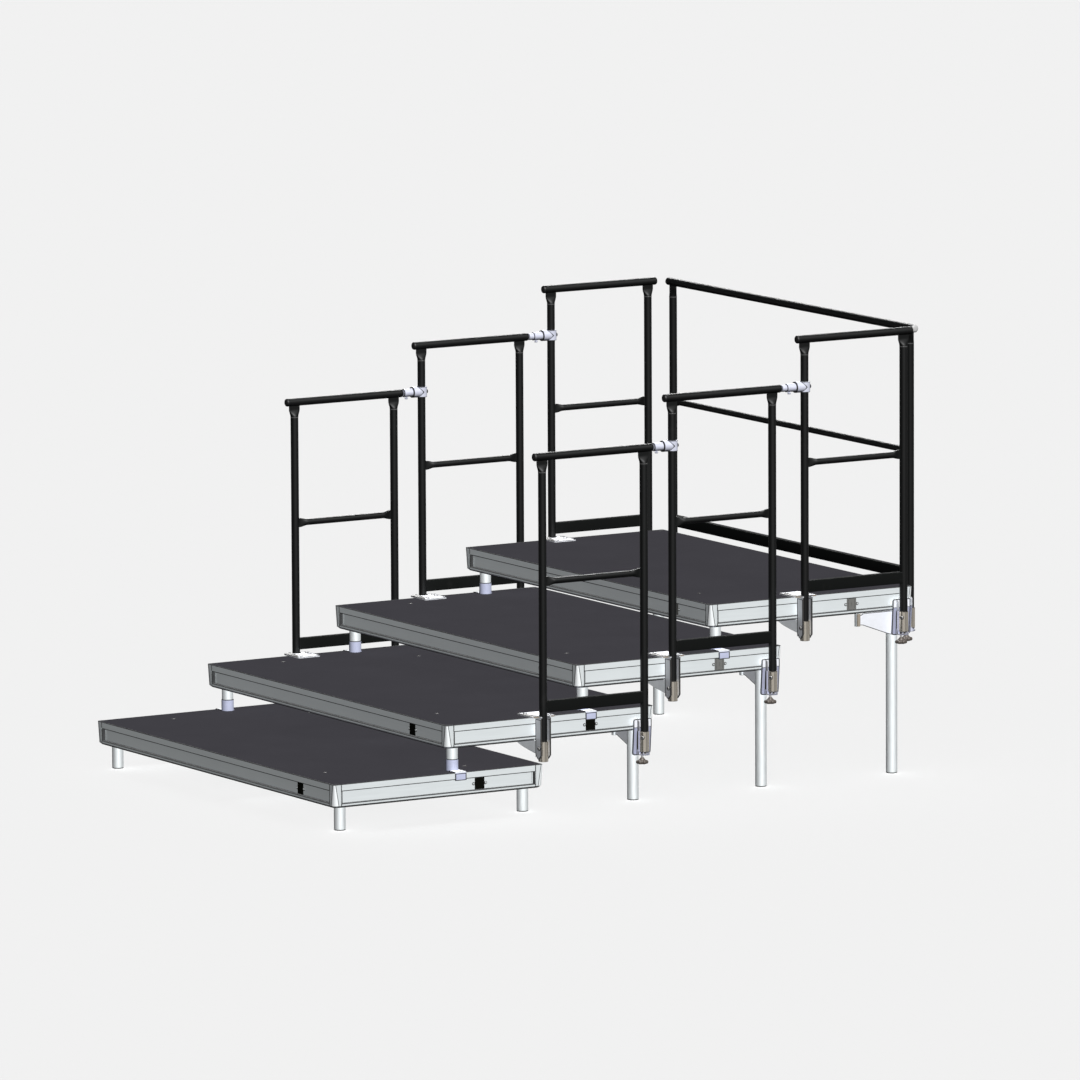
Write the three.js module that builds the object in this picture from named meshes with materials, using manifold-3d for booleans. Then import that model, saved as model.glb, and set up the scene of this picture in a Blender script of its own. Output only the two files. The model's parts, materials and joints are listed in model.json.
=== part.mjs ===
// Four-tier choir riser: stepped stage decks on plug-in legs, with guard rails
// on both sides and across the back.
// Millimetres. +X runs along the decks, -Y is the front (lowest tier), +Z is up.
// The origin lies on the floor under the middle of the whole riser.
import * as THREE from 'three';
import { mergeVertices } from 'three/addons/utils/BufferGeometryUtils.js';
import Module from 'manifold-3d';

const wasm = await Module();
wasm.setup();

// ---------------------------------------------------------------- dimensions
const GAP = 0.3;                                  // air between touching pieces

// decks
const DECK_L = 2000, DECK_W = 1000, DECK_T = 98;  // length, width, edge height
const DECK_TOP = [200, 400, 600, 800];            // height of each standing surface
const DECK_FRONT = [0, 537, 1167, 1818];          // front face of each deck, from deck 1's
const RIM = 6;                                    // aluminium rim round the panel
const PANEL_T = 15;
const BAND_TOP = 27, BAND_BOTTOM = 78;            // side channel, measured down from the top
const CHANNEL_DEPTH = 15;
const WALL_IN = 40;                               // inner face of the edge profile
const CORNER = 38;                                // width of the cast corners
const FILLET_TOP = 7, FILLET_BOTTOM = 23;         // conical edge of the cast corners
const LIP_BEVEL = 8;
const COUPLER_W = 44, COUPLER_AT = 700;           // coupler inserts in the side channels,
const COUPLER_Z = [-77.5, -34], COUPLER_PROUD = 1; // their height and how far they stand proud
const BRACE_W = 50;

// legs
const LEG_R = 24.15, LEG_INSET = 62.5, LEG_UP = 28;
const FOOT_R = 25.2, FOOT_H = 12;
const CUP_R = 26.2, CUP_H = 48, STRAP_T0 = -22, STRAP_T1 = 28, STRAP_T = 3, HOOK_DROP = 30;

// guard rails
const POST_R = 16.85, POST_OUT = 24;              // post axis outside the deck face
const POST_T = [451, 942];                        // side posts, from the deck's front face
const BACK_POST_X = 948;
const POST_BOTTOM = -180;
const RAIL_Z = 1088, OVERHANG = 43;
const MID_R = 13.45, MID_Z = 567;
const CRIMP_W = 51, CRIMP_T = 6, CRIMP_L = 40;
const TOE_Z0 = 20, TOE_Z1 = 69, TOE_T = 28;

// brackets: n runs out from the deck face, t along it, z up from the deck top
const SOCKET_R = 20.5, SOCKET_BORE = 17.3, SOCKET_TOP = -101, SOCKET_BOTTOM = -185;
const ARM_T = 5, ARM_OFF = 23, ARM_REACH = 254, BOSS_R = 14;
const PLATE_T0 = -41.5, PLATE_T1 = 46.5;           // rear plate's two edges along the deck
const KNOB_N = 5, KNOB_R = 26, FLANGE_OUT = 45;

// tee connectors
const TEE_R = 23.5, TEE_BORE = 17.5, TEE_H = 44, SPIGOT_R = 14.5;
const TEE_TUBE_R = 17.5, TEE_TUBE_END = 93, SET_BOLT_AT = 76;

const SEG = 12;

// ------------------------------------------------------------------- helpers
const deg = Math.PI / 180;

function toSolid(geometry, matrix) {
  const g = geometry.clone();
  g.deleteAttribute('normal');
  g.deleteAttribute('uv');
  if (matrix) g.applyMatrix4(matrix);
  const m = mergeVertices(g, 1e-4);
  const tri = Uint32Array.from(m.index.array);
  if (matrix && matrix.determinant() < 0) {
    for (let i = 0; i < tri.length; i += 3) [tri[i], tri[i + 1]] = [tri[i + 1], tri[i]];
  }
  return new wasm.Manifold(new wasm.Mesh({
    numProp: 3, vertProperties: Float32Array.from(m.attributes.position.array), triVerts: tri,
  }));
}

function toGeometry(solid) {
  const m = solid.getMesh();
  const g = new THREE.BufferGeometry();
  g.setAttribute('position', new THREE.BufferAttribute(Float32Array.from(m.vertProperties), 3));
  g.setIndex(new THREE.BufferAttribute(Uint32Array.from(m.triVerts), 1));
  g.computeVertexNormals();
  return g;
}

const at = (x, y, z) => new THREE.Matrix4().makeTranslation(x, y, z);

function box(x0, x1, y0, y1, z0, z1) {
  return toSolid(new THREE.BoxGeometry(x1 - x0, y1 - y0, z1 - z0),
    at((x0 + x1) / 2, (y0 + y1) / 2, (z0 + z1) / 2));
}

// a body lofted up Z: rows of `n` points each, row i at height z[i];
// section(i, k) gives point k of row i
function loft(n, z, section) {
  const rows = z.length - 1;
  const g = new THREE.CylinderGeometry(1, 1, rows, n, rows);
  const p = g.attributes.position;
  for (let i = 0; i < p.count; i++) {
    const row = Math.round(p.getY(i) + rows / 2);
    const k = (Math.round(Math.atan2(p.getX(i), p.getZ(i)) / (2 * Math.PI) * n) + n) % n;
    let [x, y] = [0, 0];
    if (Math.hypot(p.getX(i), p.getZ(i)) > 0.5) [x, y] = section(row, k);
    p.setXYZ(i, x, y, z[row]);
  }
  return g;
}

const ring = (r, n = SEG) => (i, k) => {
  const a = (k / n) * 2 * Math.PI;
  const q = Array.isArray(r) ? r[i] : r;
  return [q * Math.cos(a), q * Math.sin(a)];
};

// upright round bar or disc, with a radius for each height
function round(z, r, x = 0, y = 0, n = SEG) {
  return toSolid(loft(n, z, ring(r, n)), at(x, y, 0));
}

// turn a Z loft so that it runs along +Y
const alongY = new THREE.Matrix4().makeRotationX(-90 * deg);

// flat plates cut to an outline, with their thickness from a to b
function plateXZ(outline, a, b) {           // outline (x, z), thickness along y
  const shape = new THREE.Shape(outline.map(([u, w]) => new THREE.Vector2(u, w)));
  const g = new THREE.ExtrudeGeometry(shape, { depth: b - a, bevelEnabled: false });
  const m = new THREE.Matrix4().set(1, 0, 0, 0, 0, 0, -1, b, 0, 1, 0, 0, 0, 0, 0, 1);
  return toSolid(g, m);
}
function plateYZ(outline, a, b) {           // outline (y, z), thickness along x
  const shape = new THREE.Shape(outline.map(([u, w]) => new THREE.Vector2(u, w)));
  const g = new THREE.ExtrudeGeometry(shape, { depth: b - a, bevelEnabled: false });
  const m = new THREE.Matrix4().set(0, 0, 1, a, 1, 0, 0, 0, 0, 1, 0, 0, 0, 0, 0, 1);
  return toSolid(g, m);
}
function plateXY(outline, a, b) {           // outline (x, y), thickness along z
  const shape = new THREE.Shape(outline.map(([u, w]) => new THREE.Vector2(u, w)));
  const g = new THREE.ExtrudeGeometry(shape, { depth: b - a, bevelEnabled: false });
  return toSolid(g, at(0, 0, a));
}

const union = (list) => list.reduce((a, b) => a.add(b));
const flipY = new THREE.Matrix4().makeScale(1, -1, 1);
const mirrorT = (solid) => toSolid(toGeometry(solid), flipY);

// ----------------------------------------------------------------- materials
const look = (color, roughness, metalness) => () =>
  new THREE.MeshStandardMaterial({ color, roughness, metalness });
const aluminium = look(0xc9cfd1, 0.42, 0.85);
const phenolic = look(0x434146, 0.75, 0.0);
const brightTube = look(0xdde3e6, 0.3, 0.9);
const blackTube = look(0x1c1e1d, 0.45, 0.25);
const zincPlate = look(0xb9bdd0, 0.38, 0.7);
const paleZinc = look(0xd3d6ee, 0.35, 0.6);
const bronzeKnob = look(0x55504b, 0.5, 0.6);

function part(name, solid, material, parent, position = [0, 0, 0], turn = 0) {
  const mesh = new THREE.Mesh(toGeometry(solid), material());
  mesh.name = name;
  mesh.position.set(...position);
  mesh.rotation.z = turn;
  parent.add(mesh);
  return mesh;
}

// --------------------------------------------------------------------- decks
// Deck frame, in the deck's own frame: x centred, y from the front face, z from the top.
// Four edge profiles with an open side channel, cast corners with a leg socket each,
// a middle brace, and one coupler insert in each side.
function deckFrame() {
  const radius = (z) => FILLET_TOP + (FILLET_BOTTOM - FILLET_TOP) * (-z / DECK_T);
  const heights = [-DECK_T, -DECK_T + LIP_BEVEL, 0];
  const inset = [LIP_BEVEL, 0, 0];
  const outer = toSolid(loft(16, heights, (i, k) => {
    const c = Math.floor(k / 4), a = (c * 90 + (k % 4) * 30) * deg;
    const r = radius(heights[i]);
    const sx = c === 0 || c === 3 ? 1 : -1, sy = c < 2 ? 1 : -1;
    return [sx * (DECK_L / 2 - inset[i] - r) + r * Math.cos(a),
      sy * (DECK_W / 2 - inset[i] - r) + r * Math.sin(a)];
  }), at(0, DECK_W / 2, 0));
  const half = DECK_L / 2;
  let s = outer
    .subtract(box(-half + RIM, half - RIM, RIM, DECK_W - RIM, -PANEL_T - GAP, 1))
    .subtract(box(-half + WALL_IN, half - WALL_IN, WALL_IN, DECK_W - WALL_IN, -DECK_T - 1, 1));
  // side channels between the cast corners
  s = s.subtract(box(-half + CORNER, half - CORNER, -1, CHANNEL_DEPTH, -BAND_BOTTOM, -BAND_TOP))
    .subtract(box(-half + CORNER, half - CORNER, DECK_W - CHANNEL_DEPTH, DECK_W + 1, -BAND_BOTTOM, -BAND_TOP))
    .subtract(box(half - CHANNEL_DEPTH, half + 1, CORNER, DECK_W - CORNER, -BAND_BOTTOM, -BAND_TOP))
    .subtract(box(-half - 1, -half + CHANNEL_DEPTH, CORNER, DECK_W - CORNER, -BAND_BOTTOM, -BAND_TOP));
  // coupler inserts, one in each side, turned round the deck
  const cw = COUPLER_W / 2, e = 1, face = CHANNEL_DEPTH - COUPLER_PROUD;
  const inserts = [
    box(COUPLER_AT - cw, COUPLER_AT + cw, face, CHANNEL_DEPTH + e, ...COUPLER_Z),
    box(-COUPLER_AT - cw, -COUPLER_AT + cw, DECK_W - CHANNEL_DEPTH - e, DECK_W - face, ...COUPLER_Z),
    box(half - CHANNEL_DEPTH - e, half - face, COUPLER_AT - cw, COUPLER_AT + cw, ...COUPLER_Z),
    box(-half + face, -half + CHANNEL_DEPTH + e, 300 - cw, 300 + cw, ...COUPLER_Z),
  ];
  // middle brace and the leg socket blocks of the corners
  const blocks = [box(-BRACE_W / 2, BRACE_W / 2, WALL_IN - e, DECK_W - WALL_IN + e, -75, -PANEL_T - GAP)];
  const legs = [];
  for (const sx of [-1, 1]) for (const y of [LEG_INSET, DECK_W - LEG_INSET]) {
    const x = sx * (half - LEG_INSET);
    blocks.push(box(x - 33, x + 33, y - 33, y + 33, -DECK_T + 1, -PANEL_T - GAP));
    legs.push(round([-DECK_T - 1, -LEG_UP + 1], LEG_R + GAP, x, y));
  }
  s = union([s, ...inserts, ...blocks]);
  for (const l of legs) s = s.subtract(l);
  return s;
}

function deckPanel() {
  const half = DECK_L / 2, m = RIM + GAP;
  return box(-half + m, half - m, m, DECK_W - m, -PANEL_T, 0);
}

// Plug-in leg with a rubber foot; z from the floor, `top` = height of its upper end.
function floorLeg(top) {
  return round([0, FOOT_H, FOOT_H + 0.01, top], [FOOT_R, FOOT_R, LEG_R, LEG_R]);
}

// Short leg standing in its cup on the deck below; z from that deck's surface.
// The cup's strap runs out to the deck's side (+x) and hooks down over its edge.
function stepLeg() {
  const leg = round([GAP, 200 - LEG_UP], LEG_R);
  const cup = round([GAP, 5, 5.01, CUP_H], [33, 33, CUP_R, CUP_R]);
  const edge = LEG_INSET + GAP;
  const strap = (t0, t1) => box(0, edge + STRAP_T, t0, t1, GAP, GAP + STRAP_T)
    .add(box(edge, edge + STRAP_T, t0, t1, -HOOK_DROP, GAP + STRAP_T));
  const post = leg.add(cup);
  return { 1: post.add(strap(STRAP_T0, STRAP_T1)), '-1': post.add(strap(-STRAP_T1, -STRAP_T0)) };
}

// --------------------------------------------------------------- guard rails
// Rail panel: first post at y = 0, second at y = span; z from the deck top.
function railPanel(span) {
  const flat = (a, w, t) => [w * Math.sign(Math.cos(a)) * Math.abs(Math.cos(a)) ** 0.8,
    t * Math.sign(Math.sin(a)) * Math.abs(Math.sin(a)) ** 0.5];
  const under = RAIL_Z - POST_R;
  const postZ = [POST_BOTTOM, under - CRIMP_L, under - CRIMP_L / 2, under, RAIL_Z - 4];
  const mixes = [0, 0, 0.55, 1, 1];
  const post = (y) => toSolid(loft(SEG, postZ, (i, k) => {
    const a = (k / SEG) * 2 * Math.PI, f = mixes[i];
    const [u, v] = flat(a, CRIMP_W / 2, CRIMP_T / 2);      // u in the panel's plane
    return [POST_R * Math.cos(a + 90 * deg) * (1 - f) - v * f,
      POST_R * Math.sin(a + 90 * deg) * (1 - f) + u * f];
  }), at(0, y, 0));
  const n = 8;
  const midZ = [0, POST_R, POST_R + CRIMP_L, span - POST_R - CRIMP_L, span - POST_R, span];
  const midMix = [1, 1, 0, 0, 1, 1];
  // lofted up Z, then laid along +Y: the loft's x stays x and its y becomes -z
  const mid = toSolid(loft(n, midZ, (i, k) => {
    const a = (k / n) * 2 * Math.PI, f = midMix[i];
    const [u, v] = flat(a, 20, 2.6);
    return [-MID_R * Math.sin(a) * (1 - f) - v * f, MID_R * Math.cos(a) * (1 - f) + u * f];
  }), at(0, 0, MID_Z).multiply(alongY));
  const e = OVERHANG;
  const topZ = [-e, -e + 6, span + e - 6, span + e];
  const topR = [POST_R - 6, POST_R, POST_R, POST_R - 6];
  const top = toSolid(loft(SEG, topZ, ring(topR)), at(0, 0, RAIL_Z).multiply(alongY));
  const h = TOE_T / 2, c = 4;
  const toe = plateXZ([[-h, TOE_Z0 + c], [-h + c, TOE_Z0], [h - c, TOE_Z0], [h, TOE_Z0 + c],
    [h, TOE_Z1 - c], [h - c, TOE_Z1], [-h + c, TOE_Z1], [-h, TOE_Z1 - c]], 10, span - 10);
  return union([post(0), post(span), mid, top, toe]);
}

// ------------------------------------------------------------------ brackets
// Rear bracket: a plate hooked over the deck's lower lip, a socket for the post,
// a bottom flange for the clamp screw, and an arm that bears up under the deck.
// `short` ends the arm just under the deck's edge, for the corner where the back
// bracket's arm passes.
function rearBracket(side, short = false) {
  const plate = plateXZ([[0.5, -86], [0.5, -50], [5.5, -50], [5.5, -86],
    [-4.5, -204], [-9.5, -204]], PLATE_T0, PLATE_T1)
    .intersect(plateYZ([[PLATE_T0 + 8, -50], [PLATE_T0 + 2.3, -52.3], [PLATE_T0, -58], [PLATE_T0, -192], [PLATE_T0 + 3.5, -200.5],
      [PLATE_T0 + 12, -204], [PLATE_T1 - 15, -204], [PLATE_T1 - 4.4, -199.6], [PLATE_T1, -189], [PLATE_T1, -58],
      [PLATE_T1 - 2.3, -52.3], [PLATE_T1 - 8, -50]], -20, 20));
  const hook = box(-12, 2, -35, 12, -76, -71);
  const flange = plateXY([[-8, -24], [28, -24], [FLANGE_OUT, -10], [FLANGE_OUT, 10], [28, 24], [-8, 24]],
    -200, SOCKET_BOTTOM + 2);
  const socket = round([SOCKET_BOTTOM, SOCKET_TOP], SOCKET_R, POST_OUT, 0);
  const bore = round([SOCKET_BOTTOM + 3, SOCKET_TOP + 1], SOCKET_BORE, POST_OUT, 0);
  const w = ARM_T / 2;
  const outline = short
    ? [[2, -103], [-24, -103], [-24, -190], [-16, -204], [-8, -204]]
    : [[2, -103], [-226, -102.5], [-238, -109], [-ARM_REACH, -109], [-ARM_REACH, -150], [-229, -153], [-104, -199],
      [-84, -204.5], [-8, -204.5]];
  const arm = plateXZ(outline, ARM_OFF - w, ARM_OFF + w);
  const boss = short ? []
    : [round([-156, -98 - GAP], BOSS_R, -ARM_REACH, ARM_OFF, 10)];
  const screwHole = round([-204, SOCKET_BOTTOM + 1], 5.6, KNOB_N, 0, 8);
  const s = union([plate, hook, flange, socket, arm, ...boss]).subtract(bore).subtract(screwHole);
  return side > 0 ? s : mirrorT(s);
}

// Front bracket: a top plate on the deck, a channel down the deck's side with the
// post's socket in it, and an arm under the deck with an adjusting foot.
function frontBracket(side) {
  const plate = plateXY([[-98, -52], [-92, -58], [26, -58], [32, -52], [32, -26], [46, -26], [48, -24],
    [48, -18], [24, -18], [24, 18], [48, 18], [48, 24], [46, 26], [32, 26], [32, 52], [26, 58], [-92, 58], [-98, 52]], GAP, 6);
  const web = box(0.5, 4.5, -24, 24, -168, 4);
  const wing = (t) => plateXZ([[1, 4], [1, -156], [17, -174], [28, -175.5], [47, -158], [47, 4]], t, t + 3.5);
  const socket = round([SOCKET_BOTTOM, SOCKET_TOP], SOCKET_R, POST_OUT, 0);
  const bore = round([SOCKET_BOTTOM + 3, 8], SOCKET_BORE, POST_OUT, 0);
  const arm = plateXZ([[2, -99], [-ARM_REACH, -99], [-ARM_REACH, -113], [-185, -113],
    [-140, -126], [-119, -132.5], [-95, -137.5], [-63, -143.5], [-31, -148.5], [2, -153]], -24, -20);
  const foot = round([-130, -100, -99.99, -30, -29.99, -16], [BOSS_R, BOSS_R, 6, 6, BOSS_R, BOSS_R],
    -ARM_REACH, -22, 10);
  const s = union([plate, web, wing(-24), wing(20.5), socket, arm, foot]).subtract(bore);
  return side > 0 ? s : mirrorT(s);
}

// Star knob with its screw; origin on the screw's axis, z from the deck top.
function starKnob() {
  const lobes = (i, k) => {
    const a = (k / 12) * 2 * Math.PI;
    const r = (k % 2 ? KNOB_R - 6 : KNOB_R) - (i === 2 ? 5 : 0);
    return [r * Math.cos(a), r * Math.sin(a)];
  };
  const knob = toSolid(loft(12, [-240, -227, -223], lobes));
  const hub = round([-225, -222, -213], [15, 14, 6], 0, 0, 10);
  const stem = round([-230, -190], 4.8, 0, 0, 8);
  return union([knob, hub, stem]);
}

// Tee connector: a sleeve round the upper post, a branch and a spigot towards the
// lower rail's end, a set bolt below and a screw head at the back; origin on the post's
// axis at the rail's height.
function tee(reach) {
  const turn = new THREE.Matrix4().makeRotationX(90 * deg);       // Z loft runs along -Y
  const tube = (z, r, n = SEG) => toSolid(loft(n, z, ring(r, n)), turn);
  const sleeve = round([-TEE_H / 2, TEE_H / 2], TEE_R);
  const branch = tube([0, 50, 50.01, TEE_TUBE_END, TEE_TUBE_END + 0.01, reach - 1.8],
    [TEE_R, TEE_R, TEE_TUBE_R, TEE_TUBE_R, SPIGOT_R, SPIGOT_R]);
  const bolt = toSolid(loft(6, [0, 14], ring(8, 6)), at(0, -SET_BOLT_AT, -27));
  const plug = toSolid(loft(8, [19, 29], ring(8.5, 8)), alongY);
  return union([sleeve, branch, bolt, plug])
    .subtract(round([-TEE_H, TEE_H], TEE_BORE));
}

// ------------------------------------------------------------------ assembly
const riser = new THREE.Group();
const DEPTH = DECK_FRONT[3] + DECK_W + FLANGE_OUT;
riser.position.y = -DEPTH / 2;

const frameSolid = deckFrame(), panelSolid = deckPanel(), stepSolid = stepLeg();
const knobSolid = starKnob();
const sideSpan = POST_T[1] - POST_T[0];
const sideRail = railPanel(sideSpan), backRail = railPanel(2 * BACK_POST_X);
const rear = { 1: rearBracket(1), '-1': rearBracket(-1) };
const rearShort = { 1: rearBracket(1, true), '-1': rearBracket(-1, true) };
const front = { 1: frontBracket(1), '-1': frontBracket(-1) };

DECK_TOP.forEach((h, i) => {
  const n = i + 1;
  const tier = new THREE.Group();
  tier.position.set(0, DECK_FRONT[i], h);
  riser.add(tier);
  part(`deck_frame_${n}`, frameSolid, aluminium, tier);
  part(`deck_panel_${n}`, panelSolid, phenolic, tier);

  for (const [sx, hand] of [[-1, 'left'], [1, 'right']]) {
    const x = sx * (DECK_L / 2 - LEG_INSET);
    const turn = sx > 0 ? 0 : Math.PI;
    part(`rear_leg_${hand}_${n}`, floorLeg(h - LEG_UP), brightTube, tier,
      [x, DECK_W - LEG_INSET, -h]);
    if (n === 1) {
      part(`front_leg_${hand}_1`, floorLeg(h - LEG_UP), brightTube, tier, [x, LEG_INSET, -h]);
      continue;
    }
    part(`step_leg_${hand}_${n}`, stepSolid[sx], brightTube, tier, [x, LEG_INSET, -200], turn);

    const face = sx * DECK_L / 2;
    part(`front_bracket_${hand}_${n}`, front[sx], zincPlate, tier, [face, POST_T[0], 0], turn);
    part(`rear_bracket_${hand}_${n}`, (n === 4 ? rearShort : rear)[sx], zincPlate, tier, [face, POST_T[1], 0], turn);
    part(`clamp_knob_${hand}_${n}`, knobSolid, bronzeKnob, tier, [face + sx * KNOB_N, POST_T[1], 0], turn);
    part(`rail_${hand}_${n}`, sideRail, blackTube, tier, [face + sx * POST_OUT, POST_T[0], 0]);
    if (n > 2) {
      const lowerEnd = DECK_FRONT[i - 1] + POST_T[1] + OVERHANG;
      const reach = DECK_FRONT[i] + POST_T[0] - lowerEnd;
      part(`rail_connector_${hand}_${n}`, tee(reach), paleZinc, tier,
        [face + sx * POST_OUT, POST_T[0], RAIL_Z - 200]);
    }
  }
});

const back = new THREE.Group();
back.position.set(0, DECK_FRONT[3] + DECK_W, DECK_TOP[3]);
riser.add(back);
part('rail_back', backRail, blackTube, back, [BACK_POST_X, POST_OUT, 0], Math.PI / 2);
for (const [sx, hand] of [[-1, 'left'], [1, 'right']]) {
  part(`back_bracket_${hand}`, rear[-sx], zincPlate, back, [sx * BACK_POST_X, 0, 0], Math.PI / 2);
  part(`clamp_knob_back_${hand}`, knobSolid, bronzeKnob, back, [sx * BACK_POST_X, KNOB_N, 0], Math.PI / 2);
}

export default riser;
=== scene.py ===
import json
import math

import bmesh
import bpy
from mathutils import Matrix, Vector
from mathutils.geometry import tessellate_polygon

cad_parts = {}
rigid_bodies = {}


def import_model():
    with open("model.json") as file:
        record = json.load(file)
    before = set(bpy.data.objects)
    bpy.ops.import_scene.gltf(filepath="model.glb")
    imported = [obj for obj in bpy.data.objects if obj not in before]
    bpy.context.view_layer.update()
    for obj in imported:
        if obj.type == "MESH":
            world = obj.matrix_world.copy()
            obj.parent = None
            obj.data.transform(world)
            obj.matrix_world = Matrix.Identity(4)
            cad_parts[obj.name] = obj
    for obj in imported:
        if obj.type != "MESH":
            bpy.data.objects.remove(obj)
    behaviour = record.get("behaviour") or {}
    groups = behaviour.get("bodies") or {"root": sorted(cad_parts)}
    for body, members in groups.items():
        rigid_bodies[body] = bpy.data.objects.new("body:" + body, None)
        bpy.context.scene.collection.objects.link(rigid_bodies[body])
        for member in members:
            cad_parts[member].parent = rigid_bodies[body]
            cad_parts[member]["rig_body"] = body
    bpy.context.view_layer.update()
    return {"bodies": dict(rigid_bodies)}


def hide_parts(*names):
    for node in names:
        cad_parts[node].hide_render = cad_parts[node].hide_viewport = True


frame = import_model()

# Four-tier choir riser. Lengths are in millimetres here; x runs along the decks,
# y from the front face of the lowest deck, z up from the floor. WORLD turns them
# into metres in the shared frame, whose origin is under the middle of the riser.
DEPTH = 2863.0
WORLD = Matrix.Translation((0, -DEPTH / 2000, 0)) @ Matrix.Scale(0.001, 4)
PI = math.pi

DECK_L, DECK_W, DECK_T = 2000, 1000, 98
DECK_TOP = (200, 400, 600, 800)
DECK_FRONT = (0, 537, 1167, 1818)
RIM, PANEL_T = 6, 15
BAND_TOP, BAND_BOTTOM, CHANNEL_DEPTH, WALL_IN = 29.5, 80.5, 15, 40
CORNER, CAST_W, FILLET_TOP, FILLET_BOTTOM, LIP_BEVEL = 38, 34, 7, 23, 8
COUPLER_W, COUPLER_AT = 44, 700
LEG_R, LEG_INSET, LEG_UP = 24.15, 62.5, 28
CUP_R, CUP_H, STRAP_T0, STRAP_T1, STRAP_T, HOOK_DROP = 26.2, 48, -22, 28, 3, 30
POST_R, POST_OUT, POST_T, BACK_POST_X, POST_BOTTOM = 16.85, 24, (451, 942), 948, -180
RAIL_Z, OVERHANG, MID_R, MID_Z = 1088, 43, 13.45, 567
TOE_Z0, TOE_Z1, TOE_T = 20, 69, 28
SOCKET_R, SOCKET_BORE, SOCKET_TOP, SOCKET_BOTTOM = 20.5, 17.3, -101, -185
ARM_T, ARM_OFF, ARM_REACH, BOSS_R, PLATE_T0, PLATE_T1 = 5, 23, 254, 14, -41.5, 46.5
KNOB_N, KNOB_R = 5, 26
TEE_R, TEE_BORE, TEE_H, SPIGOT_R, TEE_TUBE_R, TEE_TUBE_END, SET_BOLT_AT = 23.5, 17.5, 44, 14.5, 17.5, 93, 76


# ============================================================== mesh building
def new_bm():
    return bmesh.new()


def circle(r, n=32, cx=0.0, cy=0.0, start=0.0):
    return [(cx + r * math.cos(start + 2 * PI * k / n), cy + r * math.sin(start + 2 * PI * k / n)) for k in range(n)]


def rounded(points, radii, n=5):
    """Outline with each corner rounded by its own radius."""
    out = []
    m = len(points)
    if not hasattr(radii, "__len__"):
        radii = [radii] * m
    for i, p in enumerate(points):
        r = radii[i]
        p = Vector(p)
        if r <= 0:
            out.append(tuple(p))
            continue
        a = (Vector(points[i - 1]) - p).normalized()
        b = (Vector(points[(i + 1) % m]) - p).normalized()
        half = a.angle(b) / 2
        d = r / math.tan(half)
        c = p + (a + b).normalized() * (r / math.sin(half))
        s, e = p + a * d - c, p + b * d - c
        a0, a1 = math.atan2(s.y, s.x), math.atan2(e.y, e.x)
        da = (a1 - a0 + PI) % (2 * PI) - PI
        out += [(c.x + r * math.cos(a0 + da * k / n), c.y + r * math.sin(a0 + da * k / n)) for k in range(n + 1)]
    return out


PLANES = {
    "XY": lambda u, v, w: (u, v, w),
    "XZ": lambda u, v, w: (u, w, v),
    "YZ": lambda u, v, w: (w, u, v),
}


def prism(outline, a, b, plane="XY", holes=()):
    """Flat plate with an outline and holes, from a to b across its plane."""
    bm = new_bm()
    put = PLANES[plane]
    loops = [list(outline)] + [list(h) for h in holes]
    low = [[bm.verts.new(put(u, v, a)) for u, v in lp] for lp in loops]
    high = [[bm.verts.new(put(u, v, b)) for u, v in lp] for lp in loops]
    for lo, hi in zip(low, high):
        for i in range(len(lo)):
            j = (i + 1) % len(lo)
            bm.faces.new((lo[i], lo[j], hi[j], hi[i]))
    if holes:
        flat = [Vector((u, v, 0)) for lp in loops for u, v in lp]
        tris = tessellate_polygon([[Vector((u, v, 0)) for u, v in lp] for lp in loops])
        for side in (low, high):
            vs = [v for lp in side for v in lp]
            for t in tris:
                if len(set(t)) == 3:
                    try:
                        bm.faces.new([vs[k] for k in t])
                    except ValueError:
                        pass
        del flat
    else:
        bm.faces.new(low[0])
        bm.faces.new(high[0])
    bmesh.ops.recalc_face_normals(bm, faces=bm.faces)
    return bm


def loft(rings, cap=True, closed=False):
    """Skin through rings of equal length."""
    bm = new_bm()
    rows = [[bm.verts.new(p) for p in r] for r in rings]
    pairs = list(zip(rows, rows[1:])) + ([(rows[-1], rows[0])] if closed else [])
    for r0, r1 in pairs:
        n = len(r0)
        for i in range(n):
            j = (i + 1) % n
            bm.faces.new((r0[i], r0[j], r1[j], r1[i]))
    if cap and not closed:
        bm.faces.new(rows[0])
        bm.faces.new(rows[-1])
    bmesh.ops.recalc_face_normals(bm, faces=bm.faces)
    return bm


def inset(points, d):
    """The outline moved inwards by d."""
    m = len(points)
    area = sum(points[i - 1][0] * points[i][1] - points[i][0] * points[i - 1][1] for i in range(m))
    sign = 1 if area > 0 else -1
    out = []
    for i in range(m):
        p0, p1, p2 = Vector(points[i - 1]), Vector(points[i]), Vector(points[(i + 1) % m])
        e1, e2 = (p1 - p0).normalized(), (p2 - p1).normalized()
        n1, n2 = Vector((-e1.y, e1.x)) * sign, Vector((-e2.y, e2.x)) * sign
        b = n1 + n2
        b = b.normalized() if b.length > 1e-6 else n1
        out.append(tuple(p1 + b * (d / max(0.5, b.dot(n1)))))
    return out


def band(outline, d, a, b, plane="XY", du=None):
    """Narrow frame that follows an outline, d wide (du along the first axis), from a to b across its plane."""
    put = PLANES[plane]
    k = d / (du or d)
    inner = [(u / k, v) for u, v in inset([(u * k, v) for u, v in outline], d)]
    return loft([[put(u, v, a) for u, v in outline], [put(u, v, b) for u, v in outline],
                 [put(u, v, b) for u, v in inner], [put(u, v, a) for u, v in inner]], cap=False, closed=True)


def lathe(profile, n=40, closed=False, start=0.0):
    """Turned body about Z from (radius, height) points; closed=True makes a ring."""
    rings = [[(r * math.cos(start + 2 * PI * k / n), r * math.sin(start + 2 * PI * k / n), z) for k in range(n)]
             for r, z in profile]
    bm = loft(rings, cap=not closed, closed=closed)
    bmesh.ops.remove_doubles(bm, verts=bm.verts, dist=1e-5)
    return bm


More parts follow.
